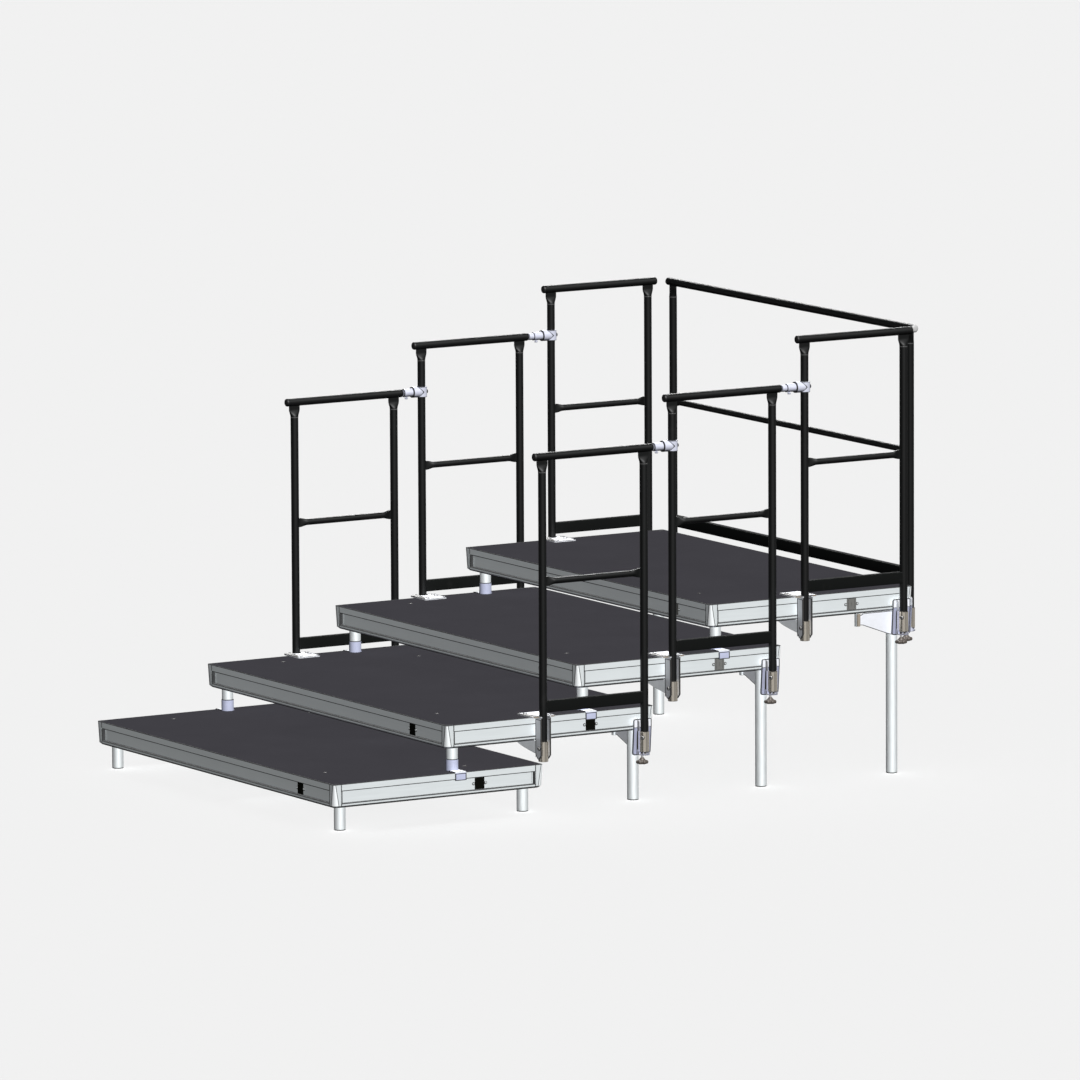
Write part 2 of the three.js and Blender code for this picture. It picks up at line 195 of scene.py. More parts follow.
def block(x0, x1, y0, y1, z0, z1):
    return prism([(x0, y0), (x1, y0), (x1, y1), (x0, y1)], z0, z1)


def join(*bms):
    """Several closed solids kept as one piece."""
    out = bms[0]
    for b in bms[1:]:
        me = bpy.data.meshes.new("tmp")
        b.to_mesh(me)
        b.free()
        out.from_mesh(me)
        bpy.data.meshes.remove(me)
    return out


def moved(bm, matrix):
    bmesh.ops.transform(bm, matrix=matrix, verts=bm.verts)
    return bm


def T(x=0, y=0, z=0):
    return Matrix.Translation((x, y, z))


def R(angle, axis):
    return Matrix.Rotation(math.radians(angle), 4, axis)


def emit(name, bm, mat, body, M=None, bevel=0.0, smooth=32, seg=2, replaces=(), limit=30, extra=()):
    """Puts a finished piece into the scene, on its body. `extra` is a list of (material, test) pairs:
    faces that pass a test on their centre and normal, in the piece's own millimetres, take it."""
    if extra:
        bm.normal_update()
        for f in bm.faces:
            for k, (_, test) in enumerate(extra):
                if test(f.calc_center_median(), f.normal):
                    f.material_index = k + 1
                    break
    bmesh.ops.transform(bm, matrix=WORLD @ (M if M is not None else Matrix()), verts=bm.verts)
    bmesh.ops.recalc_face_normals(bm, faces=bm.faces)
    for e in bm.edges:
        if len(e.link_faces) == 2 and e.calc_face_angle(0) > math.radians(smooth):
            e.smooth = False
    for f in bm.faces:
        f.smooth = True
    me = bpy.data.meshes.new(name)
    bm.to_mesh(me)
    bm.free()
    me.materials.append(mat)
    for extra_mat, _ in extra:
        me.materials.append(extra_mat)
    ob = bpy.data.objects.new(name, me)
    bpy.context.scene.collection.objects.link(ob)
    if bevel:
        m = ob.modifiers.new("edge", "BEVEL")
        m.width = bevel / 1000
        m.segments = seg
        m.limit_method = "ANGLE"
        m.angle_limit = math.radians(limit)
        m.harden_normals = True
        m.use_clamp_overlap = True
    ob.parent = frame["bodies"][body]
    ob["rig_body"] = body
    if replaces:
        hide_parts(*replaces)
    return ob


# ================================================================== materials
def srgb(h):
    h = h.lstrip("#")
    c = [int(h[i:i + 2], 16) / 255 for i in (0, 2, 4)]
    return tuple((v / 12.92 if v <= 0.04045 else ((v + 0.055) / 1.055) ** 2.4) for v in c) + (1.0,)


def shade(c, k):
    return tuple(min(1.0, v * k) for v in c[:3]) + (1.0,)


def material(name, base, metallic, rough, grain=(1, 1, 1), grain_scale=60.0, vary=0.06, rough_vary=0.08,
             bump=0.02, bump_scale=400.0, wear=None, wear_amount=0.0, wear_scale=9.0, coat=0.0, spec=0.5,
             blotch=0.05, blotch_scale=4.0, aniso=0.0, edge=None, edge_r=3.0, edge_amount=0.9):
    """Base colour with grain and blotches, roughness and bump from the same nodes.
    `edge` is the colour of a dark line painted along the piece's edges and creases, edge_r mm wide: painted shade in
    the creases, a dark outline on the outer edges."""
    mat = bpy.data.materials.new(name)
    mat.use_nodes = True
    nt = mat.node_tree
    N, L = nt.nodes, nt.links
    b = N["Principled BSDF"]
    b.inputs["Metallic"].default_value = metallic
    b.inputs["Specular IOR Level"].default_value = spec
    if coat:
        b.inputs["Coat Weight"].default_value = coat
        b.inputs["Coat Roughness"].default_value = 0.25
    if aniso:
        b.inputs["Anisotropic"].default_value = aniso
    tc = N.new("ShaderNodeTexCoord")
    mp = N.new("ShaderNodeMapping")
    mp.inputs["Scale"].default_value = grain
    L.new(tc.outputs["Object"], mp.inputs["Vector"])
    g = N.new("ShaderNodeTexNoise")
    g.inputs["Scale"].default_value = grain_scale
    g.inputs["Detail"].default_value = 6
    g.inputs["Roughness"].default_value = 0.6
    L.new(mp.outputs["Vector"], g.inputs["Vector"])
    bl = N.new("ShaderNodeTexNoise")
    bl.inputs["Scale"].default_value = blotch_scale
    bl.inputs["Detail"].default_value = 4
    L.new(tc.outputs["Object"], bl.inputs["Vector"])

    def mul(sock, amount):
        m = N.new("ShaderNodeMapRange")
        m.inputs["From Min"].default_value = 0.25
        m.inputs["From Max"].default_value = 0.75
        m.inputs["To Min"].default_value = 1 - amount
        m.inputs["To Max"].default_value = 1 + amount
        L.new(sock, m.inputs["Value"])
        return m.outputs["Result"]

    k = N.new("ShaderNodeMath")
    k.operation = "MULTIPLY"
    L.new(mul(g.outputs["Fac"], vary), k.inputs[0])
    L.new(mul(bl.outputs["Fac"], blotch), k.inputs[1])
    sc = N.new("ShaderNodeVectorMath")
    sc.operation = "SCALE"
    sc.inputs[0].default_value = base[:3]
    L.new(k.outputs[0], sc.inputs["Scale"])
    colour = sc.outputs["Vector"]
    if wear is not None:
        w = N.new("ShaderNodeTexNoise")
        w.inputs["Scale"].default_value = wear_scale
        w.inputs["Detail"].default_value = 8
        w.inputs["Roughness"].default_value = 0.7
        L.new(tc.outputs["Object"], w.inputs["Vector"])
        r = N.new("ShaderNodeMapRange")
        r.inputs["From Min"].default_value = 0.60
        r.inputs["From Max"].default_value = 0.72
        r.inputs["To Max"].default_value = wear_amount
        L.new(w.outputs["Fac"], r.inputs["Value"])
        mx = N.new("ShaderNodeMix")
        mx.data_type = "RGBA"
        L.new(r.outputs["Result"], mx.inputs["Factor"])
        L.new(colour, mx.inputs["A"])
        mx.inputs["B"].default_value = wear
        colour = mx.outputs["Result"]
    # dark line painted where the bevel normal turns away from the surface normal, along edges and creases: painted
    # shade in the creases
    if edge is not None:
        bev = N.new("ShaderNodeBevel")
        bev.samples = 6
        bev.inputs["Radius"].default_value = edge_r / 1000
        geo = N.new("ShaderNodeNewGeometry")
        dot = N.new("ShaderNodeVectorMath")
        dot.operation = "DOT_PRODUCT"
        L.new(bev.outputs["Normal"], dot.inputs[0])
        L.new(geo.outputs["Normal"], dot.inputs[1])
        er = N.new("ShaderNodeMapRange")
        er.inputs["From Min"].default_value = 0.992
        er.inputs["From Max"].default_value = 0.955
        er.inputs["To Max"].default_value = edge_amount
        L.new(dot.outputs["Value"], er.inputs["Value"])
        em = N.new("ShaderNodeMix")
        em.data_type = "RGBA"
        L.new(er.outputs["Result"], em.inputs["Factor"])
        L.new(colour, em.inputs["A"])
        em.inputs["B"].default_value = edge
        colour = em.outputs["Result"]
    L.new(colour, b.inputs["Base Color"])
    rr = N.new("ShaderNodeMapRange")
    rr.inputs["From Min"].default_value = 0.25
    rr.inputs["From Max"].default_value = 0.75
    rr.inputs["To Min"].default_value = max(0.05, rough - rough_vary)
    rr.inputs["To Max"].default_value = min(1.0, rough + rough_vary)
    L.new(g.outputs["Fac"], rr.inputs["Value"])
    L.new(rr.outputs["Result"], b.inputs["Roughness"])
    bn = N.new("ShaderNodeTexNoise")
    bn.inputs["Scale"].default_value = bump_scale
    bn.inputs["Detail"].default_value = 3
    L.new(mp.outputs["Vector"], bn.inputs["Vector"])
    bp = N.new("ShaderNodeBump")
    bp.inputs["Strength"].default_value = bump
    bp.inputs["Distance"].default_value = 0.001
    L.new(bn.outputs["Fac"], bp.inputs["Height"])
    L.new(bp.outputs["Normal"], b.inputs["Normal"])
    return mat


ALU = (0.595, 0.630, 0.640, 1)
# colour of the dark line painted along edges and creases: painted shade in the creases, a dark outline on outer edges
EDGE_LINE_AND_CREASE_SHADE = (0.050, 0.051, 0.052, 1)
MAT = {
    "alu_x": material("aluminium_profile_x", ALU, 0.25, 0.50, grain=(0.02, 1, 1), grain_scale=260, vary=0.03, bump=0.04, bump_scale=900, blotch=0.02, edge=EDGE_LINE_AND_CREASE_SHADE, edge_r=3.2),
    "alu_y": material("aluminium_profile_y", ALU, 0.25, 0.50, grain=(1, 0.02, 1), grain_scale=260, vary=0.03, bump=0.04, bump_scale=900, blotch=0.02, edge=EDGE_LINE_AND_CREASE_SHADE, edge_r=3.2),
    # near-black: dark joints at the profile ends, round the cups and on the rim beside the panel, dark outline bands
    # and strips, and painted shade inside the side channels, in the connectors' mitres and on their branch ends
    "seam": material("dark_seam_and_painted_shade", (0.034, 0.035, 0.036, 1), 0.0, 0.8, grain_scale=200, vary=0.25, bump=0.10, bump_scale=500, blotch=0.2, blotch_scale=30, spec=0.1),
    "cast": material("aluminium_casting", shade(ALU, 1.04), 0.35, 0.55, grain_scale=500, vary=0.04, bump=0.10, bump_scale=700, blotch=0.03, edge=EDGE_LINE_AND_CREASE_SHADE, edge_r=2.8),
    # much brighter copy of the casting for its rounded corner: a painted highlight
    "cone": material("aluminium_casting_cone_painted_highlight", (0.95, 0.98, 0.99, 1), 0.55, 0.58, grain_scale=500, vary=0.04, bump=0.08, bump_scale=700, blotch=0.03, edge=EDGE_LINE_AND_CREASE_SHADE, edge_r=2.0),
    "panel": material("panel_film", (0.0305, 0.0295, 0.0342, 1), 0.0, 0.9, grain_scale=700, vary=0.08, bump=0.25, bump_scale=900, wear=(0.040, 0.039, 0.045, 1), wear_amount=0.30, wear_scale=5.0, blotch=0.04, spec=0.0, edge=(0.010, 0.010, 0.010, 1), edge_r=4.0),
    "leg": material("leg_tube", (0.89, 0.925, 0.935, 1), 0.82, 0.66, grain=(1, 1, 0.03), grain_scale=500, vary=0.025, bump=0.03, bump_scale=900, blotch=0.02, edge=EDGE_LINE_AND_CREASE_SHADE, edge_r=2.0),
    "rubber": material("rubber_foot", (0.030, 0.030, 0.030, 1), 0.0, 0.7, grain_scale=300, vary=0.2, bump=0.15, bump_scale=500, spec=0.2),
    "cup": material("cup_zinc", (0.42, 0.445, 0.585, 1), 0.15, 0.50, grain_scale=90, vary=0.04, bump=0.04, bump_scale=600, blotch=0.04, blotch_scale=30, edge=EDGE_LINE_AND_CREASE_SHADE, edge_r=2.2),
    "rail": material("rail_powder_coat", (0.0018, 0.0021, 0.0021, 1), 0.0, 0.47, grain_scale=900, vary=0.15, bump=0.06, bump_scale=1100, wear=(0.012, 0.012, 0.012, 1), wear_amount=0.25, wear_scale=14, spec=0.40, rough_vary=0.03),
    "toe": material("toe_board_coat", (0.0045, 0.0050, 0.0048, 1), 0.0, 0.75, grain_scale=900, vary=0.15, bump=0.10, bump_scale=1100, wear=(0.012, 0.012, 0.012, 1), wear_amount=0.3, wear_scale=18, spec=0.05, edge=(0.03, 0.03, 0.03, 1), edge_amount=0.5, edge_r=2.0),
    "cap": material("end_cap_plastic", (0.006, 0.006, 0.006, 1), 0.0, 0.50, grain_scale=600, vary=0.1, bump=0.05, spec=0.4),
    "cap_grey": material("end_cap_grey", (0.37, 0.37, 0.37, 1), 0.0, 0.45, grain_scale=600, vary=0.06, bump=0.05, spec=0.3, edge=EDGE_LINE_AND_CREASE_SHADE, edge_r=1.6),
    "zinc": material("bracket_zinc", (0.68, 0.695, 0.735, 1), 0.15, 0.45, grain_scale=70, vary=0.03, bump=0.04, bump_scale=500, blotch=0.03, blotch_scale=25, edge=EDGE_LINE_AND_CREASE_SHADE, edge_r=4.2),
    # darker copy of the bracket zinc: painted shade on the front brackets' wings; the step straps' upward faces take it
    # too
    "wing": material("bracket_zinc_shaded_copy", (0.50, 0.515, 0.54, 1), 0.15, 0.45, grain_scale=70, vary=0.03, bump=0.04, bump_scale=500, blotch=0.03, blotch_scale=25, edge=EDGE_LINE_AND_CREASE_SHADE, edge_r=3.6),
    # lighter copy of the bracket zinc for the front brackets' arms under the deck: painted light
    "arm": material("bracket_zinc_painted_light", (0.88, 0.91, 0.935, 1), 0.15, 0.45, grain_scale=70, vary=0.03, bump=0.04, bump_scale=500, blotch=0.03, blotch_scale=25, edge=EDGE_LINE_AND_CREASE_SHADE, edge_r=3.6),
    # darker, bluer copy of the bracket zinc for the lower, leaning part of the rear plates and their flanges: painted
    # shade
    "zinc_painted_shade": material("bracket_zinc_lower_painted_shade", (0.310, 0.325, 0.425, 1), 0.15, 0.48, grain_scale=70, vary=0.04, bump=0.04, bump_scale=500, blotch=0.05, blotch_scale=25, edge=EDGE_LINE_AND_CREASE_SHADE, edge_r=4.2),
    "nickel": material("socket_nickel", (0.86, 0.79, 0.68, 1), 0.95, 0.18, grain=(1, 1, 0.05), grain_scale=300, vary=0.04, bump=0.02, bump_scale=800, blotch=0.04, blotch_scale=40, rough_vary=0.03, edge=EDGE_LINE_AND_CREASE_SHADE, edge_r=2.0),
    "tee": material("connector_zinc", (0.50, 0.515, 0.605, 1), 0.15, 0.42, grain_scale=90, vary=0.04, bump=0.06, bump_scale=500, blotch=0.04, blotch_scale=30, edge=EDGE_LINE_AND_CREASE_SHADE, edge_r=3.6),
    "knob": material("knob_bronze", (0.082, 0.070, 0.061, 1), 0.2, 0.5, grain_scale=300, vary=0.15, bump=0.12, bump_scale=700, edge=(0.008, 0.007, 0.006, 1), edge_amount=0.7, edge_r=2.0),
    "screw": material("screw_steel", (0.34, 0.335, 0.33, 1), 0.4, 0.40, grain_scale=400, vary=0.1, bump=0.05, edge=(0.02, 0.02, 0.02, 1), edge_r=1.2),
    "foot": material("adjusting_foot", (0.66, 0.70, 0.72, 1), 0.15, 0.45, grain_scale=90, vary=0.04, bump=0.05, bump_scale=500, blotch=0.04, blotch_scale=30, edge=EDGE_LINE_AND_CREASE_SHADE, edge_r=2.2),
    "tan": material("cut_edge_tan", (0.27, 0.232, 0.188, 1), 0.2, 0.45, grain_scale=400, vary=0.08, bump=0.05, edge=EDGE_LINE_AND_CREASE_SHADE, edge_r=0.8),
    "black": material("coupler_black", (0.0026, 0.0028, 0.0018, 1), 0.0, 0.8, grain_scale=500, vary=0.2, bump=0.08, spec=0.03),
    "grey": material("coupler_grey", (0.118, 0.118, 0.112, 1), 0.0, 0.65, grain_scale=500, vary=0.08, bump=0.08, spec=0.1, edge=(0.02, 0.02, 0.02, 1), edge_r=3.0),
    "plate_lip": material("plate_lip", (0.088, 0.085, 0.080, 1), 0.2, 0.5, grain_scale=120, vary=0.15, bump=0.08, bump_scale=400, blotch=0.25, blotch_scale=60, edge=EDGE_LINE_AND_CREASE_SHADE, edge_r=2.0),
    "keyhole": material("keyhole_steel", (0.11, 0.105, 0.10, 1), 0.3, 0.5, grain_scale=300, vary=0.15, bump=0.05, spec=0.2),
    # dark copy of the bracket zinc for the cheek tabs of the lower rear brackets: painted shade
    "tab": material("bracket_zinc_tab_painted_shade", (0.20, 0.20, 0.21, 1), 0.15, 0.45, grain_scale=70, vary=0.05, bump=0.04, bump_scale=500, blotch=0.05, blotch_scale=25),
    "weld": material("weld_ring", (0.10, 0.10, 0.10, 1), 0.0, 0.5, grain_scale=400, vary=0.15, bump=0.08, spec=0.3),
    # near-black for washers, keyhole rims and plugs; the floor of the screws' cross recess takes it as painted shade
    "dark": material("near_black_and_recess_shade", (0.010, 0.010, 0.010, 1), 0.0, 0.7, grain_scale=400, vary=0.15, bump=0.05, spec=0.1),
    # dark steel for washers, seats and thin edge strips; on the cheeks of the lower rear brackets it is painted shade
    # beside the socket
    "cheek": material("dark_steel_and_cheek_shade", (0.068, 0.063, 0.060, 1), 0.1, 0.5, grain_scale=300, vary=0.12, bump=0.06, spec=0.2, edge=(0.01, 0.01, 0.01, 1), edge_r=1.6),
}


# ====================================================================== decks
def profile_outline(out=0.0):
    """Edge profile, (distance in from the outer face, height from the top); `out` sinks
    the whole outside by that much."""
    r = 0.35
    pts = [(r, 0), (RIM - 0.6, 0), (RIM - 0.2, -0.4), (RIM - 0.2, -PANEL_T - 0.3), (WALL_IN, -PANEL_T - 0.3),
           (WALL_IN, -DECK_T), (LIP_BEVEL, -DECK_T), (LIP_BEVEL - 2.6, -DECK_T + 2.6), (0, -DECK_T + LIP_BEVEL), (0, -BAND_BOTTOM - 2.4), (1.6, -BAND_BOTTOM),
           (CHANNEL_DEPTH, -BAND_BOTTOM), (CHANNEL_DEPTH, -BAND_TOP), (2.0, -BAND_TOP), (0, -BAND_TOP + 3.2), (0, -2.6), (0, -r)]
    return [(max(d, out), min(z, -out)) for d, z in pts]


def joint_and_shade_faces(c, n):
    """Rim top, both channel lips, the channel's ledge and the lowest strip of the bevel, all in the dark seam colour: a
    joint beside the panel, painted shade inside the channel and on the bevel's down-turned strip.
    """
    if c.z > -2.6 and c.y < RIM:
        return True
    # flat faces of the lips and the ledge inside the channel: painted shade
    if c.y < CHANNEL_DEPTH and -BAND_BOTTOM - 2.5 < c.z < -BAND_TOP + 3.3 and abs(n.z) > 0.3:
        return True
    return c.y < LIP_BEVEL and c.z < -DECK_T + 2.7 and n.z < -0.3 and n.y < -0.3


def edge_profile(name, length, M, mat, gap):
    """Extrusion along local X with its outer face on y = 0, and the gasket at each end."""
    half = length / 2
    for s, nm in ((-1, "a"), (1, "b")):
        a, b = sorted((s * (half + 0.05), s * (half + gap - 0.1)))
        emit(f"{name}_gasket_{nm}", prism(profile_outline(0.45), a, b, "YZ"), MAT["seam"], "riser", M)
    return emit(name, prism(profile_outline(), -half, half, "YZ"), mat, "riser", M,
                extra=[(MAT["seam"], joint_and_shade_faces)])


def corner_casting(name, M):
    """Cast corner: outer edge a cone of growing radius, a socket for the leg inside,
    and plugs that close the ends of both side channels."""
    def ring(z, inset, r, n=12):
        c = inset + r
        arc = [(c + r * math.cos(PI + (PI / 2) * k / n), c + r * math.sin(PI + (PI / 2) * k / n)) for k in range(n + 1)]
        # from the y side round to the x side, then back inside
        e, i = CAST_W, WALL_IN - 8
        # a narrow strip on each side of the cone carries its parting line
        pts = [(inset, e), (inset, min(c + 2.8, e - 0.4))] + arc + [(min(c + 4.6, e - 0.4), inset), (e, inset), (e, i), (i, i), (i, e)]
        return [(x, y, z) for x, y in pts]
    def fil(z):
        return FILLET_TOP + (FILLET_BOTTOM - FILLET_TOP) * (-z / DECK_T)
    rings = [ring(0, 0.5, fil(0)), ring(-0.5, 0, fil(-0.5)), ring(-2.6, 0, fil(-2.6))]
    rings += [ring(z, 0, fil(z)) for z in (-20, -40, -60, -78, -90)]
    rings += [ring(-98, LIP_BEVEL, fil(-98))]
    outer = loft(rings)
    plugs = []
    for swap in (False, True):
        for x1, y0 in ((CORNER - 2, 0.3), (47, CHANNEL_DEPTH - 1)):
            a, b = (x1 - 16, x1), (y0, CHANNEL_DEPTH + 8)
            if swap:
                a, b = b, a
            plugs.append(block(a[0], a[1], b[0], b[1], -BAND_BOTTOM + 0.4, -BAND_TOP - 0.4))
    # a dark strip over each plug's visible end, where the channel stops
    for swap in (False, True):
        a, b = (CORNER - 1.95, CORNER + 2.8), (0.9, CHANNEL_DEPTH - 0.2)
        if swap:
            a, b = b, a
        emit(name + ("_plug_end_dark_x" if swap else "_plug_end_dark_y"), block(a[0], a[1], b[0], b[1], -BAND_BOTTOM + 0.4, -BAND_TOP - 0.4),
             MAT["seam"], "riser", M)
    # boss with the leg's bore, and its webs
    boss = lathe([(LEG_R + 0.4, -DECK_T + 1), (32, -DECK_T + 1), (33, -DECK_T + 2), (33, -PANEL_T - 2),
                  (LEG_R + 0.4, -PANEL_T - 2)], 40, closed=True)
    moved(boss, T(LEG_INSET, LEG_INSET, 0))
    ribs = [block(CAST_W - 3, LEG_INSET + 4, LEG_INSET + 26, LEG_INSET + 31, -DECK_T + 8, -PANEL_T - 2),
            block(LEG_INSET + 26, LEG_INSET + 31, CAST_W - 3, LEG_INSET + 4, -DECK_T + 8, -PANEL_T - 2)]
    emit(name + "_boss", join(boss, *ribs), MAT["cast"], "riser", M, bevel=0.5)
    emit(name + "_plugs", join(*plugs), MAT["cast"], "riser", M)
    # top and bottom strips and the parting lines in the dark seam colour; the rounded corner in the bright cone copy: a
    # painted highlight
    return emit(name, outer, MAT["cast"], "riser", M, bevel=0.3, limit=40,
                extra=[(MAT["seam"], lambda c, n: c.z > -2.5 or c.z < -97.5),
                       (MAT["seam"], lambda c, n: n.x < -0.9 and abs(c.y - fil(c.z) - 1.4) < 0.7),
                       (MAT["seam"], lambda c, n: n.y < -0.9 and abs(c.x - fil(c.z) - 2.3) < 0.7),
                       (MAT["cone"], lambda c, n: n.x < -0.06 and n.y < -0.06 and c.z > -96)])


def coupler(name, M, mat, marker=True):
    """Insert on the channel's floor: plate with its hook slot, two bolts, and the key
    hole in the panel above."""
    w, d = COUPLER_W / 2 + 1.2, CHANNEL_DEPTH
    body = prism(rounded([(-w, -80.2), (w, -80.2), (w, -31.5), (-w, -31.5)], 1.2, 3), d - 1, d + 6, "XZ")
    emit(name, body, mat, "riser", M, bevel=0.4)
    # two upright ribs and the hook's slot between them, all shallow
    ribs = [block(s * 16 - 1, s * 16 + 1, d - 1.5, d - 0.8, -74, -35) for s in (-1, 1)]
    emit(name + "_ribs", join(*ribs), mat, "riser", M, bevel=0.2)
    hook = prism(rounded([(-2.2, -66), (2.2, -66), (2.2, -45), (-2.2, -45)], 2.0, 4), d - 1.15, d - 0.9, "XZ")
    emit(name + "_cam", hook, mat, "riser", M)
    for s in (-1, 1):
        x = s * 28.6
        washer = moved(lathe([(3.6, 0), (6.9, 0), (6.6, 0.8), (4.0, 0.8)], 28, closed=True), T(x, d, -56) @ R(90, "X"))
        bolt = moved(lathe([(0, 0), (4.0, 0), (4.0, 2.4), (3.2, 3.2), (0, 3.3)], 28), T(x, d, -56) @ R(90, "X"))
        emit(f"{name}_washer_{'l' if s < 0 else 'r'}", washer, MAT["cheek"], "riser", M)
        emit(f"{name}_bolt_{'l' if s < 0 else 'r'}", bolt, MAT["cast"], "riser", M)
    if marker:
        ringm = lathe([(5.0, 0.05), (10.0, 0.05), (9.7, 0.35), (5.3, 0.35)], 28, closed=True)
        emit(name + "_keyhole_rim", moved(ringm, T(0, 133, 0)), MAT["dark"], "riser", M)
        dot = lathe([(0, 0.05), (4.2, 0.05), (4.0, 0.30), (0, 0.30)], 24)
        emit(name + "_keyhole", moved(dot, T(0, 133, 0)), MAT["keyhole"], "riser", M)


def deck(i):
    n = i + 1
    D = T(0, DECK_FRONT[i], DECK_TOP[i])
    half = DECK_L / 2
    # local frames whose +y points inward from the named side
    sides = {
        "front": (D, DECK_L, "alu_x"),
        "back": (D @ T(0, DECK_W, 0) @ R(180, "Z"), DECK_L, "alu_x"),
        "right": (D @ T(half, DECK_W / 2, 0) @ R(90, "Z"), DECK_W, "alu_y"),
        "left": (D @ T(-half, DECK_W / 2, 0) @ R(-90, "Z"), DECK_W, "alu_y"),
    }
    first = None
    for side, (M, length, mat) in sides.items():
        gap = 4.6 if mat == "alu_x" else 2.8
        ob = edge_profile(f"edge_profile_{side}_{n}", length - 2 * (CAST_W + gap), M, MAT[mat], gap)
        first = first or ob
    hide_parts(f"deck_frame_{n}")
    for cx, cy, nm in ((-1, -1, "front_left"), (1, -1, "front_right"), (-1, 1, "rear_left"), (1, 1, "rear_right")):
        M = D @ T(cx * half, 0 if cy < 0 else DECK_W, 0) @ Matrix.Diagonal((-cx, -cy, 1, 1))
        corner_casting(f"corner_casting_{nm}_{n}", M)
    colour = MAT["black"] if n < 3 else MAT["grey"]
    spots = {"front": COUPLER_AT - 1, "back": COUPLER_AT - 1, "right": COUPLER_AT - 497 + (0, 0, 1, 4)[i], "left": COUPLER_AT - 497}
    for side, at in spots.items():
        coupler(f"coupler_{side}_{n}", sides[side][0] @ T(at, 0, 0), colour)
    m = RIM + 0.15
    panel = prism(rounded([(-half + m, m), (half - m, m), (half - m, DECK_W - m), (-half + m, DECK_W - m)], 2.0, 4), -PANEL_T, 0)
    emit(f"panel_{n}", panel, MAT["panel"], "riser", D, bevel=0.5, replaces=[f"deck_panel_{n}"])
    brace = prism(rounded([(-25, -75), (25, -75), (25, -PANEL_T - 0.3), (-25, -PANEL_T - 0.3)], 2, 3), WALL_IN, DECK_W - WALL_IN, "XZ")
    emit(f"middle_brace_{n}", brace, MAT["alu_y"], "riser", D)


for i in range(4):
    deck(i)


# ======================================================================= legs
def floor_leg(name, node, top, M):
    wall = 3.0
    tube = lathe([(LEG_R - wall, 3.4), (LEG_R - 0.4, 3.4), (LEG_R, 4.0), (LEG_R, top - 1), (LEG_R - 1, top), (LEG_R - wall, top)], 48, closed=True)
    emit(name, tube, MAT["leg"], "riser", M, replaces=[node])
    foot = lathe([(0, 0), (LEG_R - 2.5, 0), (LEG_R - 0.9, 0.5), (LEG_R - 0.4, 1.6), (LEG_R - 0.4, 3.2), (LEG_R - wall - 0.2, 3.2),
                  (LEG_R - wall - 0.2, 30), (0, 30)], 48)
    emit(name + "_foot", foot, MAT["rubber"], "riser", M, bevel=0.3)


def step_leg(name, node, side, M):
    """Short leg in its cup; z from the lower deck, +x towards the deck's side."""
    wall = 3.0
    tube = lathe([(LEG_R - wall, 4), (LEG_R, 4), (LEG_R, 171), (LEG_R - 1, 172), (LEG_R - wall, 172)], 48, closed=True)
    emit(name, tube, MAT["leg"], "riser", M, replaces=[node])
    t0, t1 = (STRAP_T0, STRAP_T1) if side > 0 else (-STRAP_T1, -STRAP_T0)
    cup = lathe([(0, 0.4), (CUP_R - 1.2, 0.4), (CUP_R, 1.6), (CUP_R, CUP_H - 1.0), (CUP_R - 0.8, CUP_H), (LEG_R + 0.5, CUP_H),
                 (LEG_R + 0.35, CUP_H - 1.2), (LEG_R + 0.35, 3.6), (0, 3.6)], 48)
    emit(name + "_cup", cup, MAT["cup"], "riser", M)
    gap = lathe([(LEG_R + 0.1, CUP_H - 0.6), (CUP_R - 0.3, CUP_H - 0.6), (CUP_R - 0.3, CUP_H + 0.6), (LEG_R + 0.9, CUP_H + 2.4), (LEG_R + 0.1, CUP_H + 2.6)],
                48, closed=True)
    emit(name + "_cup_seal", gap, MAT["seam"], "riser", M)
    # strap over the deck's edge, with a wide bend and a framed drop
    edge, t, drop, turn_r = LEG_INSET + 0.3, STRAP_T, HOOK_DROP + 3.5, 6.5
    a0, a1 = (t0 - 1, t1 + 2.5) if side > 0 else (t0 - 2.5, t1 + 1)
    sec = [(-6, 0.3), (edge, 0.3), (edge, -drop), (edge + t, -drop), (edge + t, 0.3 + t), (-6, 0.3 + t)]
    sec = rounded(sec, [0, 0.3, 0, 1.2, turn_r, 0], 6)
    strap = prism(sec, a0, a1, "XZ")
    # faces turned sideways take the dark seam colour, faces turned up the grey zinc copy: colour set by the way each
    # face turns, painted shade and light
    emit(name + "_strap", strap, MAT["cup"], "riser", M, bevel=0.5,
         extra=[(MAT["seam"], lambda c, n: abs(n.y) > 0.9), (MAT["wing"], lambda c, n: n.z > 0.25)])
    frame_ = band([(a0, -drop), (a1, -drop), (a1, 0.3 + t - turn_r), (a0, 0.3 + t - turn_r)], 3.4, edge + t - 0.4, edge + t + 0.15, "YZ", du=4.4)
    emit(name + "_strap_edge", frame_, MAT["seam"], "riser", M)
    top_ = band([(-6, a0), (edge + t - turn_r, a0), (edge + t - turn_r, a1), (-6, a1)], 2.8, 0.3 + t - 0.4, 0.3 + t + 0.12)
    emit(name + "_strap_top_edge", top_, MAT["seam"], "riser", M)


for i in range(4):
    n, h = i + 1, DECK_TOP[i]
    for sx, hand in ((-1, "left"), (1, "right")):
        x = sx * (DECK_L / 2 - LEG_INSET)
        floor_leg(f"leg_rear_{hand}_{n}", f"rear_leg_{hand}_{n}", h - LEG_UP, T(x, DECK_FRONT[i] + DECK_W - LEG_INSET, 0))
        if n == 1:
            floor_leg(f"leg_front_{hand}_1", f"front_leg_{hand}_1", h - LEG_UP, T(x, LEG_INSET, 0))
        else:
            step_leg(f"leg_step_{hand}_{n}", f"step_leg_{hand}_{n}", sx,
                     T(x, DECK_FRONT[i] + LEG_INSET, h - 200) @ R(0 if sx > 0 else 180, "Z"))


